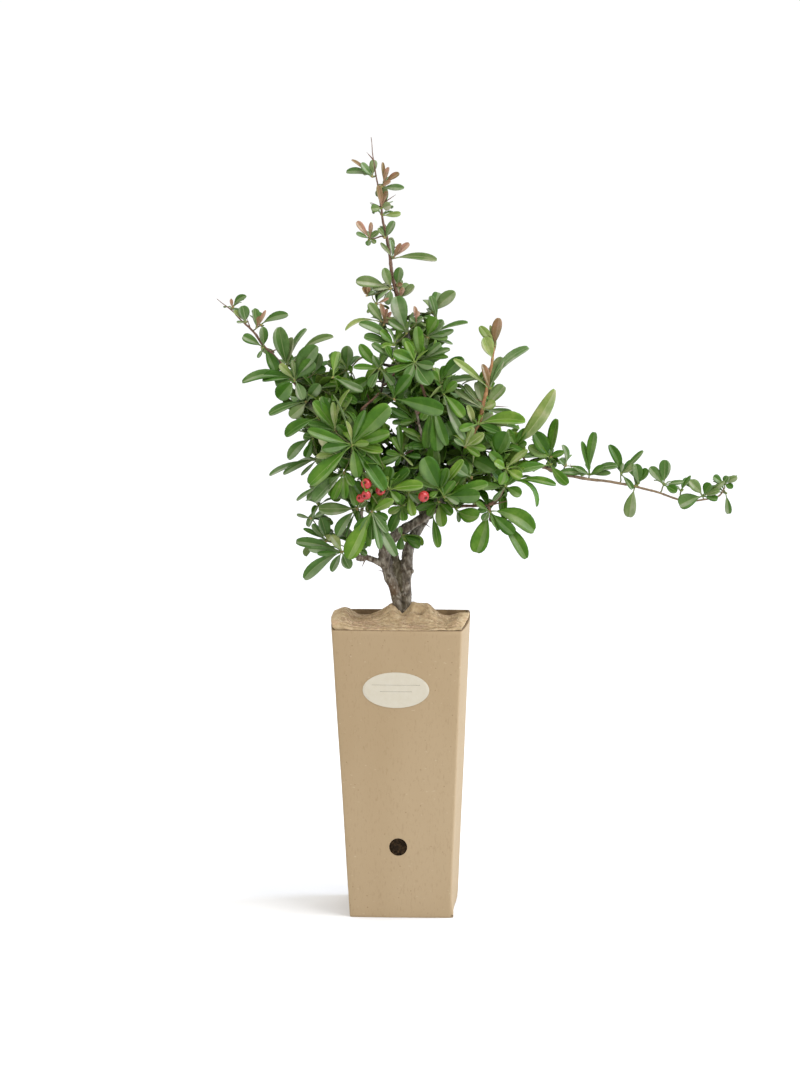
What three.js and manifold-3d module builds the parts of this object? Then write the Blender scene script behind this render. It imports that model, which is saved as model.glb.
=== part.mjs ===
// A potted firethorn shrub: a tapered square carton pot, its root ball and mulch mat,
// a forked trunk with its boughs, and the separate masses of foliage they carry.
// Millimetres, +Z up. The origin is the centre of the pot's flat underside, the pot's
// labelled face looks along -Y, and the long side branch reaches out along +X.
import * as THREE from "three";
import { mergeVertices } from "three/addons/utils/BufferGeometryUtils.js";
import Module from "manifold-3d";

const wasm = await Module();
wasm.setup();

// ---------- driving dimensions ----------

const GAP = 0.3; // clearance between pieces that touch

const POT = {
  height: 190,
  topWidth: 82.4,
  bottomWidth: 65.3,
  wall: 1.4,
  sideBow: 2.3, // how far the left and right walls belly out at the rim
  faceBow: 1.1, // the same for the front and back walls
  bowAtFoot: 0.6, // share of the bow that is left at the underside
  squares: 4, // divisions of its section across the pot
};
const DRAIN_HOLE = { height: 47, radius: 5.8, curveSteps: 9 };
const LABEL = {
  height: 151,
  x: -1.2,
  halfWidth: 21.4,
  halfHeight: 11.7,
  thickness: 0.35,
  curveSteps: 12,
};
const PLUG_REACH = 10; // how far a cutting plug runs past the front wall on both sides
const SOIL_TOP = 184; // ground level inside the pot

const MAT = {
  edgeTop: 189.6, // where the mat meets the pot's front rim
  edgeGap: 0.4,
  squares: 5, // divisions of its surface across the pot
  // Each swell: middle x, y, height, and how far it spreads along x and y.
  swells: [
    { x: -37, y: -6, rise: 4.6, alongX: 6, alongY: 30 },
    { x: -2, y: 4, rise: 9, alongX: 12, alongY: 13 },
    { x: 15, y: 6, rise: 10, alongX: 9, alongY: 11 },
    { x: 36, y: 26, rise: 1.6, alongX: 7, alongY: 12 },
    { x: 4, y: 44, rise: -2.6, alongX: 40, alongY: 12 },
  ],
};

const TRUNK_SIDES = 12;

// The trunk narrows from its flare to a waist at the mat, then widens to the fork.
const TRUNK = [
  { at: [0.6, 0.5, SOIL_TOP + GAP], half: [6.6, 6.2] },
  { at: [0.6, 0.2, 190], half: [4.6, 4.4] },
  { at: [0.6, 0, 196.5], half: [3.9, 3.8] },
  { at: [0.2, 0, 204], half: [5.9, 4.7] },
  { at: [-0.9, 0, 213], half: [7.6, 5.4] },
  { at: [-1.8, 0, 221], half: [8.4, 5.2] },
  { at: [-2.2, 0.4, 226], half: [7.6, 4.2] },
];

// Each limb: points from its foot to its end, and its radius at both ends.
const LIMBS = {
  left_bough: {
    points: [[-7.6, -1, 223], [-10, -3, 232], [-9, -4, 240], [-2, -3.5, 246.5],
      [7, -2, 252.5], [16, 0, 258], [23, 3, 265], [29, 5, 282]],
    radius: [3.9, 2.7],
  },
  right_bough: {
    points: [[2.4, 1, 222], [4.6, 5, 234], [8, 9.5, 243], [14.5, 16, 254.5], [16, 19, 282]],
    radius: [3.6, 2.5],
  },
  low_left_bough: {
    points: [[-10, -2, 226.5], [-15.7, -4, 229], [-22, -8, 232], [-35, -16, 237]],
    radius: [2.1, 1.2],
  },
  leader: {
    points: [[-1, 1, 393], [-4.3, 0, 411], [-8.7, 0, 435], [-13.2, 0, 462], [-17, 0, 485],
      [-18.9, 0, 502.4]],
    radius: [1.6, 0.5],
  },
  left_shoot: {
    points: [[-64, 0, 340], [-83.5, 0, 365.5], [-96, 0, 378], [-108, 0, 391], [-118.2, 0, 398.8]],
    radius: [1.5, 0.5],
  },
  right_shoot: {
    points: [[45, -18, 311], [51, -21, 322], [57, -25, 349], [60.6, -25, 371]],
    radius: [1.5, 0.9],
  },
  long_arm: {
    points: [[76, 3, 291], [96, 0, 292], [113, 0, 285.5], [140, 0, 282.5], [168, 0, 276],
      [192, 0, 271.6], [204, 0, 273.3], [208.5, 0, 279]],
    radius: [1.6, 0.7],
  },
  low_right_bough: {
    points: [[30, -2, 264.5], [40, -11, 266.5], [50.5, -16, 267], [69, -20, 271]],
    radius: [1.6, 0.6],
  },
  hanging_twig: {
    points: [[57.6, -17.9, 266.8], [60, -18, 259], [68, -18, 252]],
    radius: [0.9, 0.7],
  },
};

const LIMB_SIDES = { thick: 6, thin: 5, thinRadius: 2 };
const LIMB_STEPS_PER_POINT = 1.5;

// Each mass of foliage: its middle, its half sizes along x, y and z, how far it tips
// towards +X in degrees, and how finely its skin is divided. Later masses give way.
const MASSES = {
  leader_tip_leaves: { at: [-16, 0, 478.5], half: [17, 6, 8], tip: 14, detail: 1 },
  leader_upper_leaves: { at: [-10, 0, 457], half: [11, 9, 8], detail: 1 },
  leader_middle_leaves: { at: [-16, 0, 439], half: [13, 8, 8], detail: 1 },
  leader_side_leaves: { at: [5, 0, 427], half: [17, 7, 7], detail: 1 },
  leader_lower_leaves: { at: [-10, 0, 406], half: [20, 14, 13], detail: 1 },
  crown_top_left: { at: [-14, -2, 382], half: [24, 18, 15], tip: 12, detail: 1 },
  crown_top_right: { at: [21, 3, 382], half: [21, 18, 17], tip: -14, detail: 2 },
  upper_left: { at: [-24, -8, 353], half: [23, 23, 19], detail: 2 },
  upper_middle: { at: [9, 0, 347], half: [22, 24, 22], detail: 2 },
  upper_right: { at: [42, -12, 341], half: [20, 20, 19], detail: 1 },
  right_shoot_tip: { at: [60, -25, 374], half: [8, 7, 15], detail: 1 },
  right_shoot_leaves: { at: [69, -25, 352], half: [9, 7, 16], tip: 42, detail: 1 },
  left_shoot_tip: { at: [-104, 0, 394], half: [9, 5, 6], tip: -25, detail: 1 },
  left_shoot_leaves: { at: [-88, 0, 377], half: [15, 9, 15], tip: 30, detail: 1 },
  left_shoulder_top: { at: [-64, -2, 366], half: [21, 15, 14], detail: 1 },
  left_shoulder: { at: [-62, -2, 342], half: [31, 20, 15], detail: 2 },
  left_middle: { at: [-53, -8, 312], half: [25, 26, 21], detail: 2 },
  left_wing: { at: [-74, -6, 291], half: [13, 9, 9], tip: 25, detail: 1 },
  front_rosette: { at: [-28, -38, 302], half: [24, 19, 27], detail: 2 },
  left_low: { at: [-48, -14, 271], half: [20, 19, 15], detail: 1 },
  lowest_left: { at: [-48, -18, 238], half: [19, 15, 18], detail: 1 },
  centre_low: { at: [-18, -32, 258], half: [18, 14, 22], detail: 1 },
  centre: { at: [5, -4, 303], half: [30, 26, 30], detail: 1 },
  front_middle: { at: [12, -34, 322], half: [22, 16, 26], detail: 1 },
  fork_leaves: { at: [12, -3, 241], half: [11, 6, 7], detail: 1 },
  right_middle: { at: [51, 0, 297], half: [29, 29, 27], detail: 2 },
  right_front: { at: [42, -28, 273], half: [20, 13, 12], detail: 1 },
  large_leaf: { at: [87, -12, 322], half: [7, 5, 24], tip: 36, detail: 1 },
  right_tip: { at: [90, 0, 300], half: [15, 14, 18], detail: 1 },
  right_low: { at: [77, -8, 275], half: [17, 10, 9], detail: 1 },
  hanging_left_leaf: { at: [53, -18, 248], half: [6, 5, 17], tip: 18, detail: 1 },
  hanging_right_leaves: { at: [74, -18, 248], half: [14, 7, 15], tip: -30, detail: 1 },
  arm_first_leaves: { at: [121, 0, 293], half: [14, 8, 18], detail: 1 },
  arm_second_leaves: { at: [144, 0, 291], half: [12, 7, 12], detail: 1 },
  arm_hanging_leaf: { at: [149, 0, 269], half: [5, 4, 12], tip: 12, detail: 1 },
  arm_third_leaves: { at: [170, 0, 283], half: [12, 7, 12], detail: 1 },
  arm_fourth_leaves: { at: [190, 0, 273], half: [14, 8, 10], detail: 1 },
  arm_tip_leaves: { at: [209, 0, 276], half: [8, 7, 11], detail: 1 },
  back_left: { at: [-38, 36, 318], half: [32, 24, 33], detail: 2 },
  back_middle: { at: [4, 42, 330], half: [29, 24, 38], detail: 2 },
  back_right: { at: [44, 38, 302], half: [31, 24, 30], detail: 1 },
  back_low: { at: [2, 30, 268], half: [28, 20, 17], detail: 1 },
};

// The unevenness of a mass: lumps spread round it in a spiral.
const LUMP = { count: 9, turn: 2.4, scatter: 0.2, rise: 0.42, leastRise: 0.4, sharpness: 7, base: 0.82 };

const COLOURS = {
  carton: { color: 0xbfa98a, roughness: 0.85 },
  soil: { color: 0x3f3226, roughness: 1 },
  mulch: { color: 0xaf9674, roughness: 0.95 },
  label: { color: 0xdad0bc, roughness: 0.7 },
  bark: { color: 0x6f6557, roughness: 0.9 },
  leaves: { color: 0x4c7a35, roughness: 0.5 },
};

// ---------- solids ----------

// A repeatable stream of numbers from 0 to 1.
function numberStream(seed) {
  let state = seed * 2654435761 + 12345;
  return () => {
    state = (Math.imul(state ^ (state >>> 15), 2246822519) + 3266489917) >>> 0;
    return ((state ^ (state >>> 13)) >>> 0) / 4294967296;
  };
}

// A closed geometry as a solid that can be joined and cut.
function toSolid(geometry) {
  const bare = new THREE.BufferGeometry();
  const flat = geometry.index ? geometry.toNonIndexed() : geometry;
  bare.setAttribute("position", flat.getAttribute("position"));
  const merged = mergeVertices(bare, 1e-4);
  return new wasm.Manifold(
    new wasm.Mesh({
      numProp: 3,
      vertProperties: merged.getAttribute("position").array,
      triVerts: new Uint32Array(merged.index.array),
    }),
  );
}

function toGeometry(solid) {
  const mesh = solid.getMesh();
  const geometry = new THREE.BufferGeometry();
  const corners = new Float32Array(mesh.numVert * 3);
  for (let i = 0; i < mesh.numVert; i++) {
    const start = i * mesh.numProp;
    corners.set(mesh.vertProperties.subarray(start, start + 3), i * 3);
  }
  geometry.setAttribute("position", new THREE.BufferAttribute(corners, 3));
  geometry.setIndex(new THREE.BufferAttribute(new Uint32Array(mesh.triVerts), 1));
  geometry.computeVertexNormals();
  return geometry;
}

// The biggest body that a cut leaves.
function largestBody(solid) {
  const bodies = solid.decompose();
  bodies.sort((a, b) => b.volume() - a.volume());
  return bodies[0];
}

function boxesMeet(a, b) {
  const boxA = a.boundingBox();
  const boxB = b.boundingBox();
  return [0, 1, 2].every((k) => boxA.min[k] <= boxB.max[k] && boxB.min[k] <= boxA.max[k]);
}

// A piece with room cut out of it for each neighbour that it meets.
function cutRound(solid, neighbours) {
  const meeting = neighbours.filter((other) => boxesMeet(solid, other));
  return largestBody(meeting.reduce((rest, other) => rest.subtract(other), solid));
}

// A closed skin through rings of points, one ring above the other, with flat ends.
function skinThroughRings(rings) {
  const sides = rings[0].length;
  const corners = rings.flat().flatMap((point) => point.toArray());
  const faces = [];
  for (let ring = 0; ring + 1 < rings.length; ring++) {
    for (let side = 0; side < sides; side++) {
      const a = ring * sides + side;
      const b = ring * sides + ((side + 1) % sides);
      faces.push(a, b, b + sides, a, b + sides, a + sides);
    }
  }
  const last = (rings.length - 1) * sides;
  for (let side = 1; side + 1 < sides; side++) {
    faces.push(0, side + 1, side);
    faces.push(last, last + side, last + side + 1);
  }
  const geometry = new THREE.BufferGeometry();
  geometry.setAttribute("position", new THREE.Float32BufferAttribute(corners, 3));
  geometry.setIndex(faces);
  return geometry;
}

// ---------- pot ----------

// The half width of the pot's straight taper at a height.
function potHalfWidth(z) {
  return THREE.MathUtils.lerp(POT.bottomWidth, POT.topWidth, z / POT.height) / 2;
}

// A place in the pot's bellied square section at a height: u and v run from -1 to 1.
function potPlace(u, v, z, inset) {
  const half = potHalfWidth(z) - inset;
  const bow = THREE.MathUtils.lerp(POT.bowAtFoot, 1, z / POT.height);
  const x = u * (half + POT.sideBow * bow * (1 - v * v));
  const y = v * (half + POT.faceBow * bow * (1 - u * u));
  return [x, y];
}

// The square taper with bellied walls, moved in by an inset, from a level underside up
// to a level top, or to the heights that a surface gives over the underside's section.
function potTaper(inset, low, high, squares = POT.squares, surface = null) {
  const geometry = new THREE.BoxGeometry(2, 2, 1, squares, squares, 1);
  const place = geometry.getAttribute("position");
  for (let i = 0; i < place.count; i++) {
    const level = place.getZ(i) > 0 ? high : low;
    const section = surface ? low : level;
    const [x, y] = potPlace(place.getX(i), place.getY(i), section, inset);
    const rise = surface && level === high ? surface(x, y) : 0;
    place.setXYZ(i, x, y, level + rise);
  }
  return toSolid(geometry);
}

// A round or oval plug that runs along Y through the pot's front wall.
function frontPlug(x, z, halfWidth, halfHeight, curveSteps) {
  const outline = new THREE.Shape();
  outline.absellipse(0, 0, halfWidth, halfHeight, 0, 2 * Math.PI);
  const front = potHalfWidth(POT.height) + PLUG_REACH;
  const back = potHalfWidth(0) - PLUG_REACH;
  const plug = new THREE.ExtrudeGeometry(outline, {
    depth: front - back,
    bevelEnabled: false,
    curveSegments: curveSteps,
  });
  plug.rotateX(Math.PI / 2);
  plug.translate(x, -back, z);
  return toSolid(plug);
}

function potShell() {
  const outside = potTaper(0, 0, POT.height);
  const inside = potTaper(POT.wall, POT.wall, POT.height + 1);
  const { height, radius, curveSteps } = DRAIN_HOLE;
  const drain = frontPlug(0, height, radius, radius, curveSteps);
  return outside.subtract(inside).subtract(drain);
}

function rootBall() {
  return potTaper(POT.wall + GAP, POT.wall + GAP, SOIL_TOP);
}

function label() {
  const { x, height, halfWidth, halfHeight, curveSteps } = LABEL;
  const oval = frontPlug(x, height, halfWidth, halfHeight, curveSteps);
  const outer = potTaper(-GAP - LABEL.thickness, 0, POT.height);
  const inner = potTaper(-GAP, 0, POT.height);
  return largestBody(oval.intersect(outer).subtract(inner));
}

// How far the mat swells above its edge at a place.
function matRise(x, y) {
  return MAT.swells.reduce((rise, swell) => {
    const u = (x - swell.x) / swell.alongX;
    const v = (y - swell.y) / swell.alongY;
    return rise + swell.rise * Math.exp(-(u * u + v * v) / 2);
  }, 0);
}

function mulchMat(trunkRoom) {
  const inset = POT.wall + MAT.edgeGap;
  const mat = potTaper(inset, SOIL_TOP + GAP, MAT.edgeTop, MAT.squares, matRise);
  return cutRound(mat, [trunkRoom]);
}

// ---------- wood ----------

// The trunk's rings are level ovals, so its foot is a flat cut at ground level.
function trunk(grow = 0) {
  const rings = TRUNK.map(({ at, half }, level) => {
    const ring = [];
    const lift = level === TRUNK.length - 1 ? grow : 0;
    const drop = level === 0 ? grow : 0;
    for (let side = 0; side < TRUNK_SIDES; side++) {
      const turn = (2 * Math.PI * side) / TRUNK_SIDES;
      const x = at[0] + (half[0] + grow) * Math.cos(turn);
      const y = at[1] + (half[1] + grow) * Math.sin(turn);
      ring.push(new THREE.Vector3(x, y, at[2] + lift - drop));
    }
    return ring;
  });
  return toSolid(skinThroughRings(rings));
}

// A tapering limb along a smooth curve through its points.
function limb({ points, radius }, grow = 0) {
  const sides = radius[0] < LIMB_SIDES.thinRadius ? LIMB_SIDES.thin : LIMB_SIDES.thick;
  const steps = Math.round(points.length * LIMB_STEPS_PER_POINT);
  const curve = new THREE.CatmullRomCurve3(points.map((point) => new THREE.Vector3(...point)));
  const frames = curve.computeFrenetFrames(steps, false);
  const rings = [];
  for (let step = 0; step <= steps; step++) {
    const along = step / steps;
    const size = THREE.MathUtils.lerp(radius[0], radius[1], along) + grow;
    const reach = step === 0 ? -grow : step === steps ? grow : 0;
    const middle = curve.getPointAt(along).addScaledVector(frames.tangents[step], reach);
    const ring = [];
    for (let side = 0; side < sides; side++) {
      const turn = (2 * Math.PI * side) / sides;
      const point = middle.clone();
      point.addScaledVector(frames.normals[step], size * Math.cos(turn));
      point.addScaledVector(frames.binormals[step], size * Math.sin(turn));
      ring.push(point);
    }
    rings.push(ring);
  }
  return toSolid(skinThroughRings(rings));
}

// ---------- foliage ----------

// A closed, uneven skin: a stretched ball whose surface swells towards seeded lumps.
function mass({ at, half, tip = 0, detail }, seed, grow = 0) {
  const next = numberStream(seed);
  const lumps = [];
  for (let i = 0; i < LUMP.count; i++) {
    const height = 1 - (2 * (i + 0.5)) / LUMP.count + LUMP.scatter * (next() - 0.5);
    const turn = i * LUMP.turn + next();
    const level = Math.sqrt(Math.max(0, 1 - height * height));
    lumps.push({
      towards: new THREE.Vector3(level * Math.cos(turn), level * Math.sin(turn), height),
      rise: LUMP.rise * (LUMP.leastRise + next()),
    });
  }
  const geometry = new THREE.IcosahedronGeometry(1, detail);
  const place = geometry.getAttribute("position");
  const tilt = new THREE.Euler(0, THREE.MathUtils.degToRad(tip), 0);
  const direction = new THREE.Vector3();
  for (let i = 0; i < place.count; i++) {
    direction.fromBufferAttribute(place, i).normalize();
    const swell = lumps.reduce((sum, { towards, rise }) => {
      const facing = Math.max(0, direction.dot(towards));
      return sum + rise * facing ** LUMP.sharpness;
    }, LUMP.base);
    const point = new THREE.Vector3(
      direction.x * (half[0] * swell + grow),
      direction.y * (half[1] * swell + grow),
      direction.z * (half[2] * swell + grow),
    );
    point.applyEuler(tilt);
    place.setXYZ(i, at[0] + point.x, at[1] + point.y, at[2] + point.z);
  }
  return toSolid(geometry);
}

// ---------- assembly ----------

const shrub = new THREE.Group();

function addPiece(name, solid, look) {
  const material = new THREE.MeshStandardMaterial({ metalness: 0, ...COLOURS[look] });
  const piece = new THREE.Mesh(toGeometry(solid), material);
  piece.name = name;
  shrub.add(piece);
}

addPiece("pot_shell", potShell(), "carton");
addPiece("root_ball", rootBall(), "soil");
addPiece("label", label(), "label");
addPiece("mulch_mat", mulchMat(trunk(GAP)), "mulch");
addPiece("trunk", trunk(), "bark");

// Each limb gives way to the wood that came before it, and each mass to all the wood.
const room = [trunk(GAP)];
for (const [name, shape] of Object.entries(LIMBS)) {
  addPiece(name, cutRound(limb(shape), room), "bark");
  room.push(limb(shape, GAP));
}
Object.entries(MASSES).forEach(([name, shape], seed) => {
  addPiece(name, cutRound(mass(shape, seed), room), "leaves");
  room.push(mass(shape, seed, GAP));
});

export default shrub;
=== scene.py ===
"""The looks of a potted firethorn shrub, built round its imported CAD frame.

Everything is worked out in millimetres in the part's own frame (+Z up, the pot's labelled
face looks along -Y) and turned into metres when a mesh is made.
"""

import math
import random

import bpy
import numpy as np
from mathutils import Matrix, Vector, noise
from mathutils.bvhtree import BVHTree
from mathutils.kdtree import KDTree


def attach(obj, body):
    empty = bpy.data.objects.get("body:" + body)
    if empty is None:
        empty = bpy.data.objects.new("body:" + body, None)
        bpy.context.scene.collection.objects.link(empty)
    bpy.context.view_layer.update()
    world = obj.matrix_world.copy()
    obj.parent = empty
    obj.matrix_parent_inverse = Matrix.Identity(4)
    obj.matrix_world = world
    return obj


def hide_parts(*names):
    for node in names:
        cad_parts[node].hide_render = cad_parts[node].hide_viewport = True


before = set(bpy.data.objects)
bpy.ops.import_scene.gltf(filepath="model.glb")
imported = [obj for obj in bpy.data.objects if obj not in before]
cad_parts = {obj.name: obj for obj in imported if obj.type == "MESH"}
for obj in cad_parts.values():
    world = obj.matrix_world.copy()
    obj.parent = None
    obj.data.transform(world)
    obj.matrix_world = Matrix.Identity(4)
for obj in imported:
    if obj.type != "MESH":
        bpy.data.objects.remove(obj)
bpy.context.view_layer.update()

MM = 0.001

# ---------- camera ----------

FRAME = {"width": 800, "height": 1067}
CAMERA = {
    "turn": 2.6,  # degrees round from the labelled face
    "rise": 8.57,  # degrees above level
    "distance": 2984.0,
    "target": (-0.4, 0.0, 246.5),
    "focal": 4615.0,  # focal length in pixels of the frame
    "sensor": 36.0,
    "far": 100.0,  # where its view ends, in metres
}


def unit(vector):
    return vector / np.linalg.norm(vector)


def camera_axes():
    """The camera's place, and the directions ahead, right and up."""
    turn = math.radians(CAMERA["turn"])
    rise = math.radians(CAMERA["rise"])
    back = np.array((
        math.sin(turn) * math.cos(rise),
        -math.cos(turn) * math.cos(rise),
        math.sin(rise),
    ))
    right = unit(np.cross(-back, (0.0, 0.0, 1.0)))
    place = np.array(CAMERA["target"]) + back * CAMERA["distance"]
    return place, -back, right, np.cross(right, -back)


EYE, AHEAD, RIGHT, UP = camera_axes()


def at_pixel(pixel, depth):
    """The point in the plane y = depth that the camera sees at a pixel of the frame."""
    across = pixel[0] - FRAME["width"] / 2
    down = pixel[1] - FRAME["height"] / 2
    ray = AHEAD * CAMERA["focal"] + RIGHT * across - UP * down
    return EYE + ray * ((depth - EYE[1]) / ray[1])


def pixels_of(points):
    """Where the camera sees points."""
    away = np.asarray(points, float) - EYE
    scale = CAMERA["focal"] / (away @ AHEAD)
    across = FRAME["width"] / 2 + (away @ RIGHT) * scale
    down = FRAME["height"] / 2 - (away @ UP) * scale
    return np.stack([across, down], 1)


def add_camera():
    data = bpy.data.cameras.new("camera")
    data.sensor_fit = "VERTICAL"
    data.sensor_height = CAMERA["sensor"]
    data.lens = CAMERA["focal"] / FRAME["height"] * CAMERA["sensor"]
    data.clip_end = CAMERA["far"]
    camera = bpy.data.objects.new("camera", data)
    camera.location = Vector(EYE * MM)
    camera.rotation_euler = Vector(AHEAD).to_track_quat("-Z", "Y").to_euler()
    bpy.context.scene.collection.objects.link(camera)
    bpy.context.scene.camera = camera


# ---------- meshes ----------


class Heap:
    """Many small closed shapes of four-sided faces, gathered into one piece."""

    def __init__(self):
        self.corners = []
        self.faces = []
        self.looks = []
        self.count = 0

    def add(self, corners, faces, looks):
        looks = np.broadcast_to(looks, len(faces))
        self.corners.append(corners)
        self.faces.append(faces + self.count)
        self.looks.append(looks)
        self.count += len(corners)

    def add_tube(self, look, *shape, **skin):
        corners, faces = tube(*shape, **skin)
        self.add(corners, faces, look)
        return corners

    def piece(self, name, materials):
        return add_piece(
            name,
            np.concatenate(self.corners),
            np.concatenate(self.faces).tolist(),
            materials,
            np.concatenate(self.looks),
        )


def add_piece(name, corners, faces, materials, looks=None, sharp=None):
    """A smooth-shaded mesh object that rides on the root body, from millimetre corners."""
    mesh = bpy.data.meshes.new(name)
    mesh.from_pydata((np.asarray(corners) * MM).tolist(), [], faces)
    for material in materials:
        mesh.materials.append(material)
    if looks is not None:
        mesh.polygons.foreach_set("material_index", np.asarray(looks, np.int32))
    mesh.polygons.foreach_set("use_smooth", np.ones(len(faces), bool))
    if sharp:
        mesh.set_sharp_from_angle(angle=math.radians(sharp))
    mesh.update()
    piece = bpy.data.objects.new(name, mesh)
    bpy.context.scene.collection.objects.link(piece)
    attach(piece, "root")
    return piece


def ring_faces(rings, sides):
    """Faces between rings of corners, and flat fans of four-sided faces over both ends."""
    ring = np.arange(rings - 1)[:, None] * sides
    side = np.arange(sides)[None, :]
    after = (side + 1) % sides
    walls = np.stack([ring + side, ring + after, ring + after + sides, ring + side + sides], -1)
    first = np.array([(0, i + 2, i + 1, i) for i in range(1, sides - 2, 2)])
    last = first[:, ::-1] + (rings - 1) * sides
    return np.concatenate([walls.reshape(-1, 4), first, last])


def smooth_curve(points, spacing):
    """Points about a spacing apart along a smooth curve through the given points."""
    points = np.asarray(points, float)
    padded = np.vstack([2 * points[0] - points[1], points, 2 * points[-1] - points[-2]])
    made = []
    for a, b, c, d in zip(padded, padded[1:], padded[2:], padded[3:]):
        steps = max(2, int(math.ceil(np.linalg.norm(c - b) / spacing)))
        t = np.linspace(0, 1, steps, endpoint=False)[:, None]
        made.append(0.5 * (2 * b + (c - a) * t + (2 * a - 5 * b + 4 * c - d) * t**2
                           + (3 * b - a - 3 * c + d) * t**3))
    return np.vstack(made + [points[-1:]])


X, Y, Z = np.eye(3)


def circle(first, second, sides):
    """Unit steps all round, from one direction towards another that is square to it."""
    turns = np.arange(sides) * 2 * math.pi / sides
    return np.cos(turns)[:, None] * first + np.sin(turns)[:, None] * second


def swung(first, second, turn):
    """The direction at an angle round from one direction towards another."""
    return first * math.cos(turn) + second * math.sin(turn)


def square_axes(direction, hint):
    """Two directions square to a direction and to each other, the first square to a hint too."""
    side = unit(np.cross(direction, hint))
    return side, np.cross(direction, side)


def directions_along(points):
    along = np.gradient(points, axis=0)
    return along / np.linalg.norm(along, axis=1)[:, None]


TUBE_START = (0.3, 0.9, 0.2)  # a way that no limb sets out; a tube's first side is square to it
TUBE_SKIN = {"along": 0.35, "around": 1.3}  # how close together the skin's bumps lie


def tube(points, radii, sides, relief=0.0, seed=0.0):
    """Corners and faces of a closed tube along a line, with an uneven skin."""
    points = np.asarray(points, float)
    along = directions_along(points)
    side = np.cross(along[0], TUBE_START)
    shift = Vector((seed, 0, 0))
    corners = []
    for point, ahead, radius in zip(points, along, radii):
        side = unit(side - ahead * (side @ ahead))
        ring = circle(side, np.cross(ahead, side), sides)
        reach = np.full(sides, radius)
        if relief:
            places = point * TUBE_SKIN["along"] + ring * TUBE_SKIN["around"]
            bumps = [noise.noise(Vector(place) + shift) for place in places]
            reach = radius * (1 + relief * np.array(bumps))
        corners.append(point + ring * reach[:, None])
    return np.vstack(corners), ring_faces(len(points), sides)


# ---------- materials ----------


STUDIO_LEVEL = 1.45  # how much brighter than a plain white surround the studio lights the object


def srgb(red, green, blue):
    """The reflectance that shows as a display colour of 0 to 255 in the studio's light."""
    shares = [c / 255 for c in (red, green, blue)]
    linear = [c / 12.92 if c <= 0.04045 else ((c + 0.055) / 1.055) ** 2.4 for c in shares]
    return (*(c / STUDIO_LEVEL for c in linear), 1.0)


def toned(colour, factors, lift=(0, 0, 0)):
    """A display colour with each channel scaled and then lifted."""
    return tuple(round(c * factor + up) for c, factor, up in zip(colour, factors, lift))


class Look:
    """A node material round one Principled shader, in the object's own coordinates."""

    def __init__(self, name, roughness, specular=0.5):
        self.material = bpy.data.materials.new(name)
        self.material.use_nodes = True
        self.nodes = self.material.node_tree.nodes
        self.links = self.material.node_tree.links
        self.shader = self.nodes["Principled BSDF"]
        self.shader.inputs["Roughness"].default_value = roughness
        self.shader.inputs["Specular IOR Level"].default_value = specular
        self.coordinates = self.nodes.new("ShaderNodeTexCoord").outputs["Object"]

    def stretched(self, scale):
        mapping = self.nodes.new("ShaderNodeMapping")
        mapping.inputs["Scale"].default_value = scale
        self.links.new(self.coordinates, mapping.inputs["Vector"])
        return mapping.outputs["Vector"]

    def noise(self, scale, detail=3, stretch=(1, 1, 1), distortion=0.0):
        node = self.nodes.new("ShaderNodeTexNoise")
        node.inputs["Scale"].default_value = scale
        node.inputs["Detail"].default_value = detail
        node.inputs["Distortion"].default_value = distortion
        self.links.new(self.stretched(stretch), node.inputs["Vector"])
        return node.outputs["Fac"]

    def cells(self, scale, stretch=(1, 1, 1)):
        node = self.nodes.new("ShaderNodeTexVoronoi")
        node.inputs["Scale"].default_value = scale
        self.links.new(self.stretched(stretch), node.inputs["Vector"])
        return node.outputs["Distance"]

    def climb(self, low, high):
        """From 0 at one height to 1 at another, in millimetres."""
        parts = self.nodes.new("ShaderNodeSeparateXYZ")
        self.links.new(self.coordinates, parts.inputs["Vector"])
        span = self.nodes.new("ShaderNodeMapRange")
        span.inputs["From Min"].default_value = low * MM
        span.inputs["From Max"].default_value = high * MM
        self.links.new(parts.outputs["Z"], span.inputs["Value"])
        return span.outputs["Result"]

    def ramp(self, value, stops):
        """Colours or grey levels at places from 0 to 1."""
        node = self.nodes.new("ShaderNodeValToRGB")
        elements = node.color_ramp.elements
        while len(elements) < len(stops):
            elements.new(1.0)
        for element, (place, colour) in zip(elements, stops):
            element.position = place
            element.color = colour if isinstance(colour, tuple) else (colour,) * 3 + (1.0,)
        self.links.new(value, node.inputs["Fac"])
        return node.outputs["Color"]

    def mix(self, share, first, second):
        """First, with second over it as far as share says."""
        node = self.nodes.new("ShaderNodeMix")
        node.data_type = "RGBA"
        self.links.new(share, node.inputs["Factor"])
        for socket, value in ((node.inputs["A"], first), (node.inputs["B"], second)):
            if isinstance(value, tuple):
                socket.default_value = value
            else:
                self.links.new(value, socket)
        return node.outputs["Result"]

    def tones(self, value, *colours, low=0.3, high=0.7):
        """Display colours at even steps over the middle of a pattern's values."""
        places = np.linspace(low, high, len(colours))
        return self.ramp(value, [(place, srgb(*colour)) for place, colour in zip(places, colours)])

    def marked(self, base, value, stops, colour):
        """Base, with a display colour over it as far as a ramp of a pattern says."""
        return self.mix(self.ramp(value, stops), base, srgb(*colour))

    def colour(self, value):
        self.links.new(value, self.shader.inputs["Base Color"])

    def roughness(self, value):
        self.links.new(value, self.shader.inputs["Roughness"])

    def bump(self, height, strength, depth):
        node = self.nodes.new("ShaderNodeBump")
        node.inputs["Strength"].default_value = strength
        node.inputs["Distance"].default_value = depth * MM
        self.links.new(height, node.inputs["Height"])
        previous = self.shader.inputs["Normal"]
        if previous.is_linked:
            self.links.new(previous.links[0].from_socket, node.inputs["Normal"])
        self.links.new(node.outputs["Normal"], previous)


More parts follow.
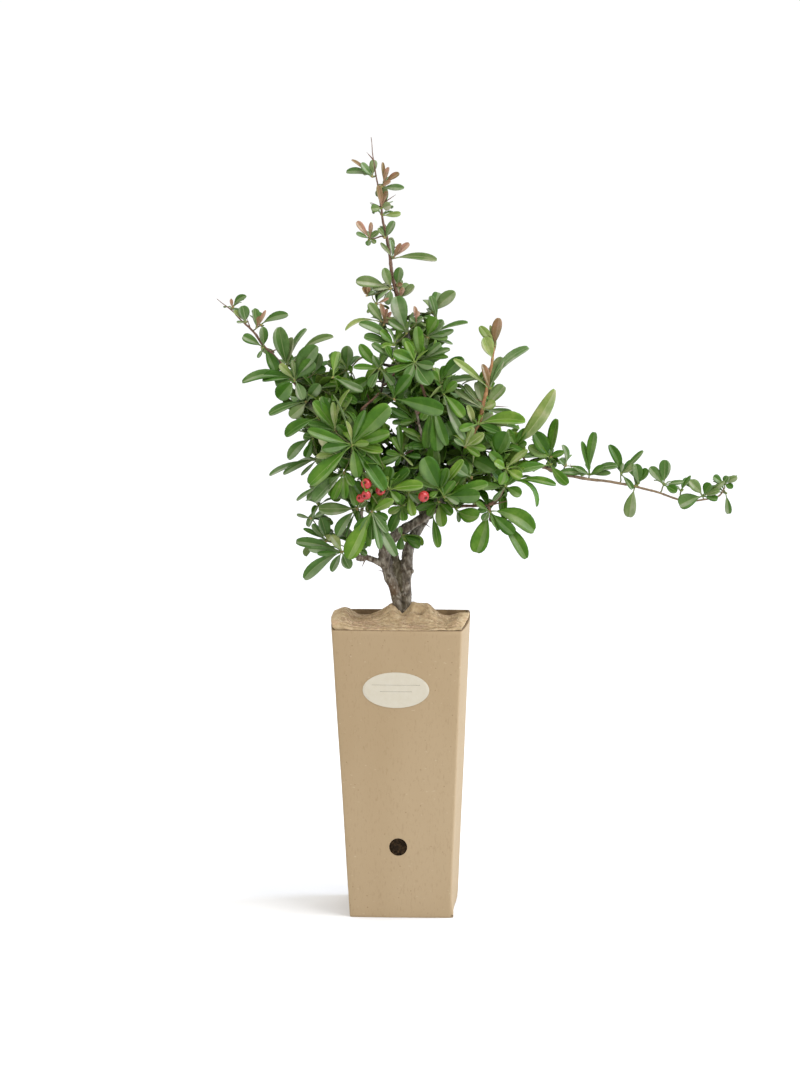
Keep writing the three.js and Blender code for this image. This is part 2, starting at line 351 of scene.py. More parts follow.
def carton_look():
    look = Look("kraft_carton", roughness=0.8, specular=0.25)
    clouds = look.noise(14, stretch=(1, 1, 0.35))
    base = look.tones(clouds, (184, 159, 123), (193, 169, 134), low=0.35, high=0.65)
    fibres = look.noise(900, detail=2, stretch=(1, 1, 0.3), distortion=0.6)
    base = look.marked(base, fibres, [(0.56, 0.0), (0.76, 0.45)], (162, 136, 102))
    pale_specks = look.noise(620, detail=1, stretch=(0.5, 0.5, 1))
    base = look.marked(base, pale_specks, [(0.72, 0.0), (0.8, 0.5)], (214, 194, 164))
    dark_specks = look.cells(170)
    base = look.marked(base, dark_specks, [(0.045, 0.65), (0.09, 0.0)], (140, 112, 80))
    look.colour(base)
    look.bump(look.noise(2600), strength=0.25, depth=0.06)
    look.bump(look.noise(160, detail=2, stretch=(1, 1, 0.3)), strength=0.3, depth=0.15)
    return look.material


# The carton's inner faces, browner and darker than its outer face: painted shade inside the pot.
def painted_shade_board_look():
    look = Look("inner_board_painted_shade", roughness=0.85, specular=0.2)
    shade_mottle = look.noise(120, detail=4)
    look.colour(look.tones(shade_mottle, (132, 112, 86), (172, 148, 114), low=0.35, high=0.65))
    look.bump(look.noise(1600), strength=0.3, depth=0.1)
    return look.material


# The rim's cut edge, darker than the faces: partly the board's plies, partly painted shade along
# the felt's edge.
def board_edge_look():
    look = Look("cut_board_edge_painted_shade", roughness=0.9, specular=0.2)
    plies = look.noise(1500, detail=2, stretch=(1, 1, 0.3))
    look.colour(look.tones(plies, (126, 104, 76), (156, 132, 100)))
    look.bump(plies, strength=0.4, depth=0.1)
    return look.material


def soil_look():
    look = Look("moist_compost", roughness=0.95, specular=0.2)
    grains = look.noise(420, detail=4)
    shades = [(0.3, srgb(30, 22, 14)), (0.55, srgb(62, 47, 30)), (0.75, srgb(98, 76, 50))]
    look.colour(look.ramp(grains, shades))
    look.bump(grains, strength=0.8, depth=1.0)
    return look.material


def label_look():
    look = Look("label_paper", roughness=0.65, specular=0.3)
    look.colour(look.tones(look.noise(300), (218, 209, 188), (222, 214, 195)))
    look.bump(look.noise(3200, detail=2), strength=0.1, depth=0.01)
    return look.material


def ink_look():
    look = Look("label_line_grey", roughness=0.7, specular=0.2)
    look.colour(look.tones(look.noise(1800, detail=2), (168, 162, 148), (182, 176, 162)))
    return look.material


def felt_look():
    look = Look("mulch_felt", roughness=0.95, specular=0.15)
    tufts = look.noise(240, detail=5, distortion=0.8)
    base = look.tones(tufts, (188, 160, 120), (208, 181, 141), (220, 197, 159))
    pink = look.noise(70, detail=2)
    look.colour(look.marked(base, pink, [(0.56, 0.0), (0.7, 0.4)], (222, 180, 150)))
    look.bump(look.noise(900, detail=4, distortion=1.0), strength=0.3, depth=0.15)
    return look.material


def fibre_look(name, dark, light):
    look = Look(name, roughness=0.9, specular=0.2)
    look.colour(look.tones(look.noise(500, detail=2), dark, light))
    return look.material


def bark_look(name, dark, middle, light):
    """Streaked bark with moss, rust and pale lenticels, darker where it enters the pot: partly
    moist, partly painted shade.
    """
    look = Look(name, roughness=0.85, specular=0.25)
    streaks = look.noise(420, detail=5, stretch=(1, 1, 0.5), distortion=0.7)
    base = look.tones(streaks, dark, middle, light)
    base = look.marked(base, look.noise(60), [(0.55, 0.0), (0.75, 0.35)], (110, 104, 70))
    rust = look.noise(75, detail=2)
    base = look.marked(base, rust, [(0.56, 0.0), (0.72, 0.5)], (112, 82, 54))
    lenticels = look.cells(330, stretch=(1, 1, 0.6))
    base = look.marked(base, lenticels, [(0.12, 0.7), (0.24, 0.0)], (182, 172, 150))
    # Darker from 203 mm down to 195 mm: partly moist bark, partly painted shade where the trunk
    # goes into the felt.
    moist_and_shade = look.climb(203, 195)
    look.colour(look.marked(base, moist_and_shade, [(0.0, 0.0), (1.0, 0.6)], (56, 46, 34)))
    look.bump(streaks, strength=0.6, depth=0.6)
    return look.material


def shoot_look(name, dark, light):
    look = Look(name, roughness=0.6, specular=0.35)
    skin = look.noise(420, detail=4, distortion=0.4)
    base = look.tones(skin, dark, light)
    look.colour(look.marked(base, look.cells(700), [(0.12, 0.5), (0.2, 0.0)], (184, 164, 138)))
    look.bump(skin, strength=0.5, depth=0.2)
    return look.material


# How the upper side's random mottle differs from its middle tone (darker, purer green: painted
# shade;
# lighter, greyer, bluer: painted sheen), and by how much the darker ends of the midrib's and under
# side's tones are dimmed.
BLADE_TONES = {"dark": (0.84, 0.9, 0.74), "light": (1.18, 1.07, 1.2), "lift": (6, 6, 10)}
RIB_DIMMED = (0.92, 0.92, 0.92)
UNDER_DIMMED = (0.9, 0.9, 0.9)
# Specular levels of the plain band and of the band with painted sheen.
GLOSS = {"plain": 0.16, "painted_sheen_band": 0.5}


def blade_look(name, blade, specular):
    """A band of a leaf's upper side, mottled at random: purer green patches as painted shade,
    greyer ones as painted sheen.
    """
    look = Look(name, roughness=0.4, specular=specular)
    dark = toned(blade, BLADE_TONES["dark"])
    light = toned(blade, BLADE_TONES["light"], BLADE_TONES["lift"])
    base = look.tones(look.noise(90), dark, blade, light, low=0.34, high=0.66)
    look.colour(look.marked(base, look.noise(460), [(0.4, 0.0), (0.7, 0.4)], dark))
    look.roughness(look.ramp(look.noise(900, detail=2), [(0.3, 0.32), (0.7, 0.46)]))
    look.bump(look.noise(700, detail=2, distortion=0.6), strength=0.4, depth=0.3)
    return look.material


def leaf_looks(name, blade, pale, rib, under):
    """A tint's looks: the upper side's plain band and its band of painted sheen, the midrib, the
    under side.
    """
    bands = [
        blade_look(name + "_blade", blade, GLOSS["plain"]),
        blade_look(name + "_painted_sheen", pale, GLOSS["painted_sheen_band"]),
    ]
    middle = Look(name + "_rib", roughness=0.5, specular=0.2)
    middle.colour(middle.tones(middle.noise(500, detail=2), toned(rib, RIB_DIMMED), rib))
    below = Look(name + "_under", roughness=0.65, specular=0.1)
    veins = below.noise(800, distortion=0.5)
    below.colour(below.tones(veins, toned(under, UNDER_DIMMED), under))
    below.bump(veins, strength=0.4, depth=0.2)
    return [*bands, middle.material, below.material]


def berry_looks():
    skin = Look("berry_skin", roughness=0.22, specular=0.6)
    skin.colour(skin.tones(skin.noise(260), (192, 36, 42), (222, 68, 68)))
    skin.bump(skin.noise(1500, detail=2), strength=0.2, depth=0.05)
    return [skin.material, fibre_look("berry_calyx", (70, 44, 32), (150, 108, 80))]


def floor_look():
    look = Look("pale_floor", roughness=1.0, specular=0.0)
    look.colour(look.ramp(look.noise(40, detail=2), [(0.3, 0.70), (0.7, 0.72)]))
    return look.material


# ---------- pot ----------

POT = {
    "height": 190.0,
    "top_half": 41.2,
    "foot_half": 32.65,
    "wall": 1.4,
    "side_bow": 2.3,
    "face_bow": 1.1,
    "bow_at_foot": 0.6,
    "corner": 1.3,  # rounding of the upright edges
    "least_corner": 0.15,
    "edge": 0.35,  # rounding of the rim and the underside's edge
    "wall_points": 26,
    "corner_steps": 5,
}
DENTS = [  # depth, and how close together they lie across and up the wall, and their shift
    (0.16, 0.03, 0.018, 0),
    (0.056, 0.11, 0.02, 5),
]
SHELL = {
    "underside": [(0.02, 0.3), (0.3, 0.3), (0.6, 0.3), (0.88, 0.3), (0.93, 0)],  # share, height
    "rounding": 0.3,  # where a rounded edge's middle ring lies, as a share of its radius
    "foot_top": 16.0,
    "foot_rings": 12,
    "wall_foot": 19.0,
    "wall_rings": 58,
    "floor": (0.7, 0.3, 0.02),
    "crease": 32,  # degrees at which an edge counts as sharp
}
OUTER_FACE, CUT_EDGE, INNER_FACE = range(3)  # the carton's looks
SKEW = {  # how far the carton's corners stand to the right, in mm at its foot and at its rim
    "left": (1.3, -1.0),
    "front_right": (1.2, -0.1),
    "back_right": (3.6, 2.2),
}
PINCH = {  # the right wall folds in at its foot, below a crease that climbs from its corners
    "slope": 0.1,
    "at_corner": 2.0,
    "at_middle": 13.5,
    "power": 4,  # how fast it dies away from the wall
    "fade": 6,  # how fast it dies away at the corners
}
FOLD = {"out": 1.6, "rise": 9.0, "along": 8.0, "power": 40}  # the lower right corner's flap
SEAM = {  # the glued flap stands proud of the back wall
    "from": 0.5,
    "behind": 0.8,
    "step": 0.45,
    "foot": 4.0,
    "below_rim": 1.0,
}
DRAIN_HOLE = {
    "height": 47.0,
    "radius": 5.8,
    "lip": 0.5,
    "lip_depth": 0.55,
    "inward": 6.0,
    "outward": 4.0,
    "sides": 48,
}
FOLD_HOLE = {
    "at": (34.9, -31.9, 1.2),
    "half": (0.9, 1.3, 0.65),
    "rows": 9,
    "sides": 16,
    "tip": 0.02,
}
LABEL = {
    "x": -1.2,
    "height": 151.0,
    "half_width": 21.4,
    "half_height": 11.7,
    "thickness": 0.3,
    "gap": 0.06,
    "sides": 72,
    "crease": 40,
    "rings": [  # share of the width, and of the thickness
        (0.02, 0), (0.5, 0), (1, 0), (1, 0.6), (0.992, 1), (0.9, 1), (0.6, 1), (0.3, 1), (0.02, 1),
    ],
}
LABEL_LINES = [{"rise": 3.4, "half": 15.4}, {"rise": -0.9, "half": 10.2}]
LINE = {"points": 24, "radius": 0.16, "sides": 6, "sunk": 0.02, "flattened": 0.6}


def pot_half(z):
    share = z / POT["height"]
    return POT["foot_half"] + (POT["top_half"] - POT["foot_half"]) * share


def bow_at(z):
    return POT["bow_at_foot"] + (1 - POT["bow_at_foot"]) * z / POT["height"]


def wall_skew(u, v, z):
    """How far the carton stands to the right at a place from -1 to 1 across and along it."""
    left, front, back = (foot + (rim - foot) * z / POT["height"] for foot, rim in SKEW.values())
    right = front + (back - front) * (v + 1) / 2
    return left + (right - left) * (u + 1) / 2


def pot_section(inset, z):
    """Points round the pot's bellied square section with rounded corners."""
    half = pot_half(z) - inset
    corner = max(POT["least_corner"], POT["corner"] - inset)
    core = half - corner
    turns = np.linspace(0, math.pi / 2, POT["corner_steps"] + 1)[1:-1]
    quarter = [(x, -half) for x in np.linspace(-core, core, POT["wall_points"])]
    quarter += [(core + corner * math.sin(t), -core - corner * math.cos(t)) for t in turns]
    points = []
    for _ in range(4):
        points += quarter
        quarter = [(-y, x) for x, y in quarter]
    x, y = np.array(points).T
    u, v = x / half, y / half
    moved_x = u * (half + POT["side_bow"] * bow_at(z) * (1 - v**2)) + wall_skew(u, v, z)
    moved_y = v * (half + POT["face_bow"] * bow_at(z) * (1 - u**2))
    return np.stack([moved_x, moved_y, np.full(len(x), z)], 1)


def wall_unevenness(points):
    """Gentle dents, as offsets away from the pot's axis."""
    return np.array([
        sum(
            depth * noise.noise(Vector((x * across, y * across, z * up + shift)))
            for depth, across, up, shift in DENTS
        )
        for x, y, z in points
    ])


def push_out(ring, moves):
    """Moves a ring's points away from the pot's axis."""
    outward = ring[:, :2] / np.linalg.norm(ring[:, :2], axis=1)[:, None]
    ring[:, :2] += outward * moves[:, None]


def pinched(points):
    """The foot of the right wall leans in below its crease, and the fold's flap stands out."""
    x, y, z = points.T
    half = pot_half(z)
    inward = 1 - np.abs(y) / half
    climb = PINCH["at_middle"] - PINCH["at_corner"]
    crease = PINCH["at_corner"] + climb * np.clip(inward, 0, 1)
    near_wall = np.clip(x / half, 0, 1) ** PINCH["power"]
    lean = PINCH["slope"] * np.clip(crease - z, 0, None) * near_wall
    lean *= np.clip(inward * PINCH["fade"], 0, 1)
    out = FOLD["out"] * np.exp(-((z / FOLD["rise"]) ** 2) - ((y + half) / FOLD["along"]) ** 2)
    out *= np.clip((x - wall_skew(1, -1, z)) / half, 0, 1) ** FOLD["power"]
    return points + np.stack([out - lean, 0 * lean, 0 * lean], 1)


def pot_ring(inset, z, scale=1.0):
    """A finished ring of the pot's wall or floor."""
    ring = pot_section(inset, z)
    push_out(ring, wall_unevenness(ring))
    on_outside = inset < POT["wall"] / 2
    if on_outside and SEAM["foot"] < z < POT["height"] - SEAM["below_rim"]:
        half = pot_half(z)
        flap = (ring[:, 1] > half * SEAM["behind"]) & (ring[:, 0] > half * SEAM["from"])
        ring[flap, 1] += SEAM["step"]
    ring[:, :2] *= scale
    return pinched(ring)


def pot_shell(materials):
    """The carton: up the outside, over the rim, and down the inside to its floor."""
    height, wall, edge = POT["height"], POT["wall"], POT["edge"]
    soft = edge * SHELL["rounding"]
    foot = np.linspace(edge, SHELL["foot_top"], SHELL["foot_rings"])
    upright = np.linspace(SHELL["wall_foot"], height - edge, SHELL["wall_rings"])
    rings = [pot_ring(0, z, share) for share, z in SHELL["underside"]]
    rings += [pot_ring(edge, 0), pot_ring(soft, soft)]
    rings += [pot_ring(0, z) for z in (*foot, *upright)]
    outside = len(rings)
    rings += [pot_ring(soft, height - soft), pot_ring(edge, height)]
    rings += [pot_ring(wall - edge, height), pot_ring(wall, height - edge)]
    inside = len(rings)
    rings += [pot_ring(wall, z) for z in (*upright[::-2], *foot[::-3], wall)]
    rings += [pot_ring(wall, wall, share) for share in SHELL["floor"]]
    sides = len(rings[0])
    faces = ring_faces(len(rings), sides)
    ring_of = faces.min(axis=1) // sides
    looks = np.where(ring_of >= outside - 1, CUT_EDGE, OUTER_FACE)
    looks[ring_of >= inside - 1] = INNER_FACE
    corners = np.vstack(rings)
    shell = add_piece("carton_pot", corners, faces.tolist(), materials, looks, SHELL["crease"])
    cut_hole(shell, drain_punch())
    cut_hole(shell, fold_punch())
    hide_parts("pot_shell")


def drain_punch():
    """A round punch whose mouth flares at the wall's outer face."""
    face = -pot_half(DRAIN_HOLE["height"]) - POT["face_bow"]
    radius = DRAIN_HOLE["radius"]
    wide = radius + DRAIN_HOLE["lip"]
    steps = [
        (face + DRAIN_HOLE["inward"], radius),
        (face + DRAIN_HOLE["lip_depth"], radius),
        (face, wide),
        (face - DRAIN_HOLE["outward"], wide),
    ]
    round_hole = circle(X, Z, DRAIN_HOLE["sides"])
    rings = [round_hole * reach + (0, y, DRAIN_HOLE["height"]) for y, reach in steps]
    return np.vstack(rings), ring_faces(len(rings), DRAIN_HOLE["sides"])


def fold_punch():
    """The small gap that the fold leaves open at the pot's lower right corner."""
    level_ring = circle(X, Y, FOLD_HOLE["sides"])
    rows = []
    for rise in np.linspace(-1, 1, FOLD_HOLE["rows"]):
        level = max(FOLD_HOLE["tip"], math.sqrt(1 - rise * rise))
        rows.append(level_ring * level + (0, 0, rise))
    corners = np.vstack(rows) * FOLD_HOLE["half"] + FOLD_HOLE["at"]
    return corners, ring_faces(len(rows), FOLD_HOLE["sides"])


def cut_hole(piece, punch):
    corners, faces = punch
    mesh = bpy.data.meshes.new("punch")
    mesh.from_pydata((corners * MM).tolist(), [], faces.tolist())
    tool = bpy.data.objects.new("punch", mesh)
    bpy.context.scene.collection.objects.link(tool)
    cut = piece.modifiers.new("hole", "BOOLEAN")
    cut.operation = "DIFFERENCE"
    cut.solver = "EXACT"
    cut.object = tool
    apply_modifiers(piece)
    bpy.data.objects.remove(tool)


def apply_modifiers(piece):
    shown = piece.evaluated_get(bpy.context.evaluated_depsgraph_get())
    mesh = bpy.data.meshes.new_from_object(shown)
    piece.modifiers.clear()
    piece.data = mesh


def front_wall(x, z, lift):
    """A point a little in front of the pot's front wall."""
    half = pot_half(z)
    y = -(half + POT["face_bow"] * bow_at(z) * (1 - (x / half) ** 2))
    dent = wall_unevenness([(x, y, z)])[0]
    return (x, y - dent - lift, z)


def label_plate(materials):
    """A thin oval of paper that follows the front wall, and its two ruled lines."""
    paper, ink = materials
    gap, thick = LABEL["gap"], LABEL["thickness"]
    oval = circle(X, Z, LABEL["sides"])
    rings = []
    for scale, lift in LABEL["rings"]:
        x = LABEL["x"] + LABEL["half_width"] * scale * oval[:, 0]
        z = LABEL["height"] + LABEL["half_height"] * scale * oval[:, 2]
        rings.append(np.array([front_wall(a, b, gap + thick * lift) for a, b in zip(x, z)]))
    corners = np.vstack(rings)
    faces = ring_faces(len(rings), LABEL["sides"]).tolist()
    plate = add_piece("label_plate", corners, faces, [paper], sharp=LABEL["crease"])
    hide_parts("label")

    lines = Heap()
    for line in LABEL_LINES:
        reach = np.linspace(-line["half"], line["half"], LINE["points"])
        z = LABEL["height"] + line["rise"]
        path = [front_wall(LABEL["x"] + x, z, gap + thick - LINE["sunk"]) for x in reach]
        corners, faces = tube(path, np.full(len(path), LINE["radius"]), LINE["sides"])
        from_path = corners[:, 1] - np.repeat([y for _, y, _ in path], LINE["sides"])
        corners[:, 1] -= from_path * LINE["flattened"]
        lines.add(corners, faces, 0)
    ruled = lines.piece("label_lines", [ink])


# ---------- compost and mulch mat ----------

SOIL = {
    "top": 185.5,
    "foot": 2.2,
    "rings": 40,
    "inset": 2.1,
    "foot_inset": 5.5,
    "foot_reach": 18.0,  # how high the foot's narrowing reaches
    "roughness": 0.5,
    "grain": 0.6,  # how close together the skin's lumps lie
    "sunk": 0.6,  # how far the lumps' middle lies inside the skin, as a share of the roughness
    "closing": (0.5, 0.1),  # the shares by which two smaller rings close each end
}
CRUMBS = {
    "count": 130,
    "size": (0.35, 1.0),
    "spread": 0.97,  # of the drain hole's radius
    "bow": 0.7,  # of the face's bow
    "behind": 2.6,  # how far inside the wall's face they lie
    "jitter": (-0.5, 0.3),
    "rows": 5,
    "sides": 6,
    "tip": 0.96,
    "lumpiness": (0.75, 1.1),
}
MAT = {
    "edge": 190.2,
    "inset": 1.8,
    "floor": 184.4,
    "floor_gap": 0.3,
    "divisions": 150,
    "swells": [  # middle x, y, height, spread along x and y
        (-38, -4, 5.0, 4.4, 26),
        (-36, 24, 2.0, 4.0, 10),
        (-3, 2, 10.6, 9.0, 8.5),
        (-5.5, -5, 1.8, 3.4, 4),
        (8.5, 1, 4.6, 3.8, 8),
        (17.2, 1, 8.6, 4.4, 8),
        (9.5, -5, 1.6, 3.4, 4),
        (24, 0, 1.8, 6, 9),
        (40, 10, 2.8, 3.8, 24),
        (38, -16, 1.5, 3.6, 14),
        (4, 42, -4.4, 42, 12),
        (0, -41, -0.5, 34, 2.5),
        (1.3, -4.6, -3.9, 3.8, 2.8),
        (11.6, -6.4, -4.6, 2.3, 1.7),
        (32, 30, -3.0, 5, 6),
        (-26, 30, -2.0, 5, 5),
        (-10, -39, -1.2, 1.2, 1.2),
    ],
    "lumps": [(0.8, 0.12, 1.5), (0.4, 0.35, 4.0), (0.22, 1.1, 8.0)],  # height, closeness, shift
    "lip": 1.4,  # how far the felt reaches out over the carton's rim
    "lip_rise": 0.5,  # how far above the rim the lip reaches all the way
    "lip_depth": 0.6,  # the lip's share at the front and back
    "lip_power": 24,  # how fast the lip dies away from the edge
    "roll": 0.3,  # how far the left roll leans out, as a share of its height
    "roll_from": 1.0,
    "roll_power": 12,
    "collar_drop": 0.2,
    "collar_rise": 0.06,  # above the carton's rim
}
STRANDS = {
    "count": 2600,
    "reach": 39.0,
    "edge": 0.6,
    "points": 6,
    "length": (3.0, 13.0),
    "shortest": 1.0,
    "bend": (-0.12, 0.12),
    "radius": (0.035, 0.09),
    "taper": (0.5, 1, 1, 1, 0.9, 0.4),
    "rise": 0.28,
    "sunk": 0.15,
    "climb": 1e-3,  # from one point to the next, so that no two points meet
    "sides": 4,
}


def soil_block(material):
    """The compost fills the pot, with lumps on its skin."""
    rings = []
    for z in np.linspace(SOIL["foot"], SOIL["top"], SOIL["rings"]):
        near_foot = max(0.0, 1 - (z - SOIL["foot"]) / SOIL["foot_reach"])
        ring = pot_section(SOIL["inset"] + (SOIL["foot_inset"] - SOIL["inset"]) * near_foot, z)
        rough = np.array([noise.noise(Vector(p) * SOIL["grain"]) for p in ring])
        push_out(ring, SOIL["roughness"] * (rough - SOIL["sunk"]))
        rings.append(ring)
    for share in SOIL["closing"]:
        rings = [rings[0] * (share, share, 1), *rings, rings[-1] * (share, share, 1)]
    faces = ring_faces(len(rings), len(rings[0]))
    block = add_piece("compost", np.vstack(rings), faces.tolist(), [material])
    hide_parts("root_ball")


def soil_crumbs(material):
    """Crumbs of compost that show in the drain hole."""
    draw = random.Random(11)
    crumbs = Heap()
    depth = CRUMBS["behind"] - (pot_half(DRAIN_HOLE["height"]) + POT["face_bow"] * CRUMBS["bow"])
    for _ in range(CRUMBS["count"]):
        turn = draw.uniform(0, 2 * math.pi)
        reach = DRAIN_HOLE["radius"] * math.sqrt(draw.random()) * CRUMBS["spread"]
        size = draw.uniform(*CRUMBS["size"])
        y = depth + draw.uniform(*CRUMBS["jitter"])
        at = (reach * math.cos(turn), y, DRAIN_HOLE["height"] + reach * math.sin(turn))
        crumbs.add(*crumb(at, size, draw), 0)
    crumbs.piece("compost_crumbs", [material])


def crumb(at, size, draw):
    """A small uneven lump."""
    rows, tip = CRUMBS["rows"], CRUMBS["tip"]
    round_crumb = circle(X, Y, CRUMBS["sides"])
    corners = []
    for rise in np.linspace(-tip, tip, rows):
        for step in round_crumb * math.sqrt(1 - rise * rise) + (0, 0, rise):
            corners.append(at + step * size * draw.uniform(*CRUMBS["lumpiness"]))
    return np.array(corners), ring_faces(rows, CRUMBS["sides"])


def mat_height(x, y):
    """How high the mulch mat lies at a place."""
    z = MAT["edge"]
    for mid_x, mid_y, rise, wide, deep in MAT["swells"]:
        z += rise * math.exp(-(((x - mid_x) / wide) ** 2 + ((y - mid_y) / deep) ** 2) / 2)
    for rise, closeness, shift in MAT["lumps"]:
        z += rise * noise.noise(Vector((x * closeness, y * closeness, shift)))
    return z


def mat_spot(u, v):
    """A place on the mat, from -1 to 1 across and along it, without the lip over the rim."""
    half = pot_half(MAT["edge"]) - MAT["inset"]
    x = u * (half + POT["side_bow"] * (1 - v * v)) + wall_skew(u, v, MAT["edge"])
    y = v * (half + POT["face_bow"] * (1 - u * u))
    return x, y, mat_height(x, y)


def mat_place(u, v):
    x, y, z = mat_spot(u, v)
    lip = MAT["lip"] * min(1.0, max(0.0, (z - POT["height"]) / MAT["lip_rise"]))
    roll = MAT["roll"] * max(0.0, z - MAT["edge"] - MAT["roll_from"])
    roll *= max(0.0, -u) ** MAT["roll_power"]
    out_x = lip * math.copysign(abs(u) ** MAT["lip_power"], u)
    out_y = MAT["lip_depth"] * lip * math.copysign(abs(v) ** MAT["lip_power"], v)
    return x + out_x - roll, y + out_y, z


def mat_collar(u, v):
    """Where the felt's side goes down into the pot, just above the carton's rim."""
    x, y, z = mat_spot(u, v)
    return x, y, min(z - MAT["collar_drop"], POT["height"] + MAT["collar_rise"])


def outline(index):
    """The numbers round the edge of a square of numbers."""
    return np.concatenate([index[0, :], index[1:, -1], index[-1, -2::-1], index[-2:0:-1, 0]])


def mulch_mat(material):
    """The felt's lumpy top, its sides inside the pot, and its underside."""
    count = MAT["divisions"] + 1
    steps = np.linspace(-1, 1, count)
    top = np.array([mat_place(u, v) for v in steps for u in steps])
    inside = pot_half(MAT["floor"]) - MAT["inset"] - MAT["floor_gap"]
    bottom = np.clip(top, -inside, inside)
    bottom[:, 2] = MAT["floor"]
    index = np.arange(count**2).reshape(count, count)
    over = np.stack([index[:-1, :-1], index[:-1, 1:], index[1:, 1:], index[1:, :-1]], -1)
    over = over.reshape(-1, 4)
    under = over[:, ::-1] + len(top)
    edge = outline(index)
    collar = np.array([mat_collar(steps[i % count], steps[i // count]) for i in edge])
    after = np.roll(edge, -1)
    middle = 2 * len(top) + np.arange(len(edge))
    middle_after = np.roll(middle, -1)
    brim = np.stack([edge, middle, middle_after, after], -1)
    sides = np.stack([middle, edge + len(top), after + len(top), middle_after], -1)
    faces = np.concatenate([over, under, brim, sides])
    mat = add_piece("mulch_felt", np.vstack([top, bottom, collar]), faces.tolist(), [material])
    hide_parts("mulch_mat")


def mulch_strands(materials):
    """Loose plant fibres, lying on the mat every way and standing out at its edges."""
    draw = random.Random(5)
    strands = Heap()
    limit = pot_half(MAT["edge"]) - STRANDS["edge"]
    last = STRANDS["points"] - 1
    for _ in range(STRANDS["count"]):
        x = draw.uniform(-STRANDS["reach"], STRANDS["reach"])
        y = draw.uniform(-STRANDS["reach"], STRANDS["reach"])
        heading = draw.uniform(0, 2 * math.pi)
        bend = draw.uniform(*STRANDS["bend"])
        length = draw.uniform(*STRANDS["length"])
        lift = draw.uniform(0.0, STRANDS["rise"])
        hump = draw.uniform(0.0, STRANDS["rise"])
        points = []
        for step in range(STRANDS["points"]):
            z = mat_height(x, y) + lift + hump * math.sin(math.pi * step / last) - STRANDS["sunk"]
            points.append((x, y, z))
            heading += bend * length / last
            x = max(-limit, min(limit, x + math.cos(heading) * length / last))
            y = max(-limit, min(limit, y + math.sin(heading) * length / last))
        if np.linalg.norm(np.subtract(points[0], points[-1])) < STRANDS["shortest"]:
            continue
        points += np.outer(range(STRANDS["points"]), (0, 0, STRANDS["climb"]))
        radii = draw.uniform(*STRANDS["radius"]) * np.array(STRANDS["taper"])
        strands.add_tube(draw.randrange(len(materials)), points, radii, STRANDS["sides"])
    strands.piece("mulch_strands", materials)


# ---------- limbs ----------

# Each limb: its points from foot to tip, and its radius at both ends. The stems and boughs
# are melted into one mesh. The shoots stand clear of it.
STEMS = {
    "left_stem": ([
        (0.2, 0.3, 186), (-0.4, 0, 194), (-2.3, -0.8, 203), (-5.1, -1.4, 213), (-8.1, -1.6, 221),
        (-9.8, -2, 228), (-10.7, -3, 234)], (3.1, 3.6)),
    "right_stem": ([
        (1.8, 0.4, 186), (3.2, 0.3, 194), (3.9, 0.8, 203), (3.9, 1, 213), (4.4, 1.4, 222),
        (5.2, 5, 234)], (3.3, 2.9)),
    "stem_web": ([
        (0.8, 0.4, 194), (0.8, 1.6, 206), (-1.0, 2.0, 215), (-3.2, 2.4, 224),
        (-4.9, 2.6, 233)], (3.0, 3.5)),
    "flare": ([(0.9, 0.5, 184.6), (1.0, 0.3, 188), (1.2, 0.1, 196)], (6.4, 3.6)),
}
BOUGHS = {
    "left_bough": ([
        (-8.6, -1.6, 226), (-10, -3, 232), (-9, -4, 240), (-2, -3.5, 246.5), (7, -2, 252.5),
        (16, 0, 258), (23, 3, 265), (29, 5, 282), (35, 0, 300)], (3.9, 2.0)),
    "right_bough": ([
        (3.6, 2, 223), (4.6, 5, 234), (8, 9.5, 243), (14.5, 16, 254.5), (16.9, 20, 265.6),
        (14.3, 20, 285.3), (11.8, 16, 305.4), (11.4, 10, 325.8), (10.3, 7, 339), (7.8, 5, 355),
        (5.3, 3, 368.7), (2.1, 2, 384.9), (-1, 1, 395)], (3.7, 1.6)),
    "low_left_bough": ([
        (-8, -1.6, 224.5), (-15.7, -4, 229), (-22, -8, 232), (-29, -12, 233.5),
        (-35, -16, 237)], (2.5, 1.1)),
    "low_left_fork": ([(-21, -7.5, 231.8), (-24.5, -9, 230.2), (-28.5, -10.5, 230.8)], (1.3, 0.5)),
    "inner_left_bough": ([
        (-22, -8, 232), (-25, -11, 241), (-25, -17, 256), (-22, -24, 284.6), (-26, -24, 310.4),
        (-22, -14, 330.5), (-13.5, -8, 337), (-10, -5, 350)], (1.25, 0.9)),
    "shoulder_bough": ([
        (-21, -24, 284.6), (-35, -12, 305.6), (-48.6, -4, 322), (-58.5, 0, 331.8),
        (-66, 0, 342)], (1.2, 1.5)),
    "back_bough": ([
        (14.5, 16, 254.5), (10, 26, 268), (6, 35, 290), (4, 42, 320), (3, 41, 352)], (2.4, 0.9)),
    "back_left_bough": ([(7, 33, 284), (-10, 38, 300), (-30, 37, 315), (-46, 34, 330)], (1.5, 0.8)),
    "back_right_bough": ([(8, 30, 277), (24, 36, 289), (42, 39, 302), (58, 36, 316)], (1.5, 0.8)),
    "arm_root": ([
        (16, 0, 258), (34.9, 6, 272), (51, 8, 280.6), (67, 6, 288.5), (84, 2, 292)], (2.0, 1.5)),
    "front_bough": ([(29, 5, 282), (24, -10, 293), (16, -26, 310), (11, -33, 332)], (1.5, 0.8)),
    "right_shoot_root": ([(35, 0, 282), (40, -12, 297), (45, -18, 311)], (1.6, 1.5)),
    "right_upper_bough": ([(35, 0, 300), (39, -8, 320), (42, -12, 342)], (1.5, 0.8)),
    "low_right_root": ([(16, 0, 258), (25, -1, 263.5), (30, -2, 264.5)], (1.7, 1.6)),
    "upper_left_bough": ([(7.8, 5, 355), (-8, -2, 356), (-24, -8, 362)], (1.3, 0.8)),
}
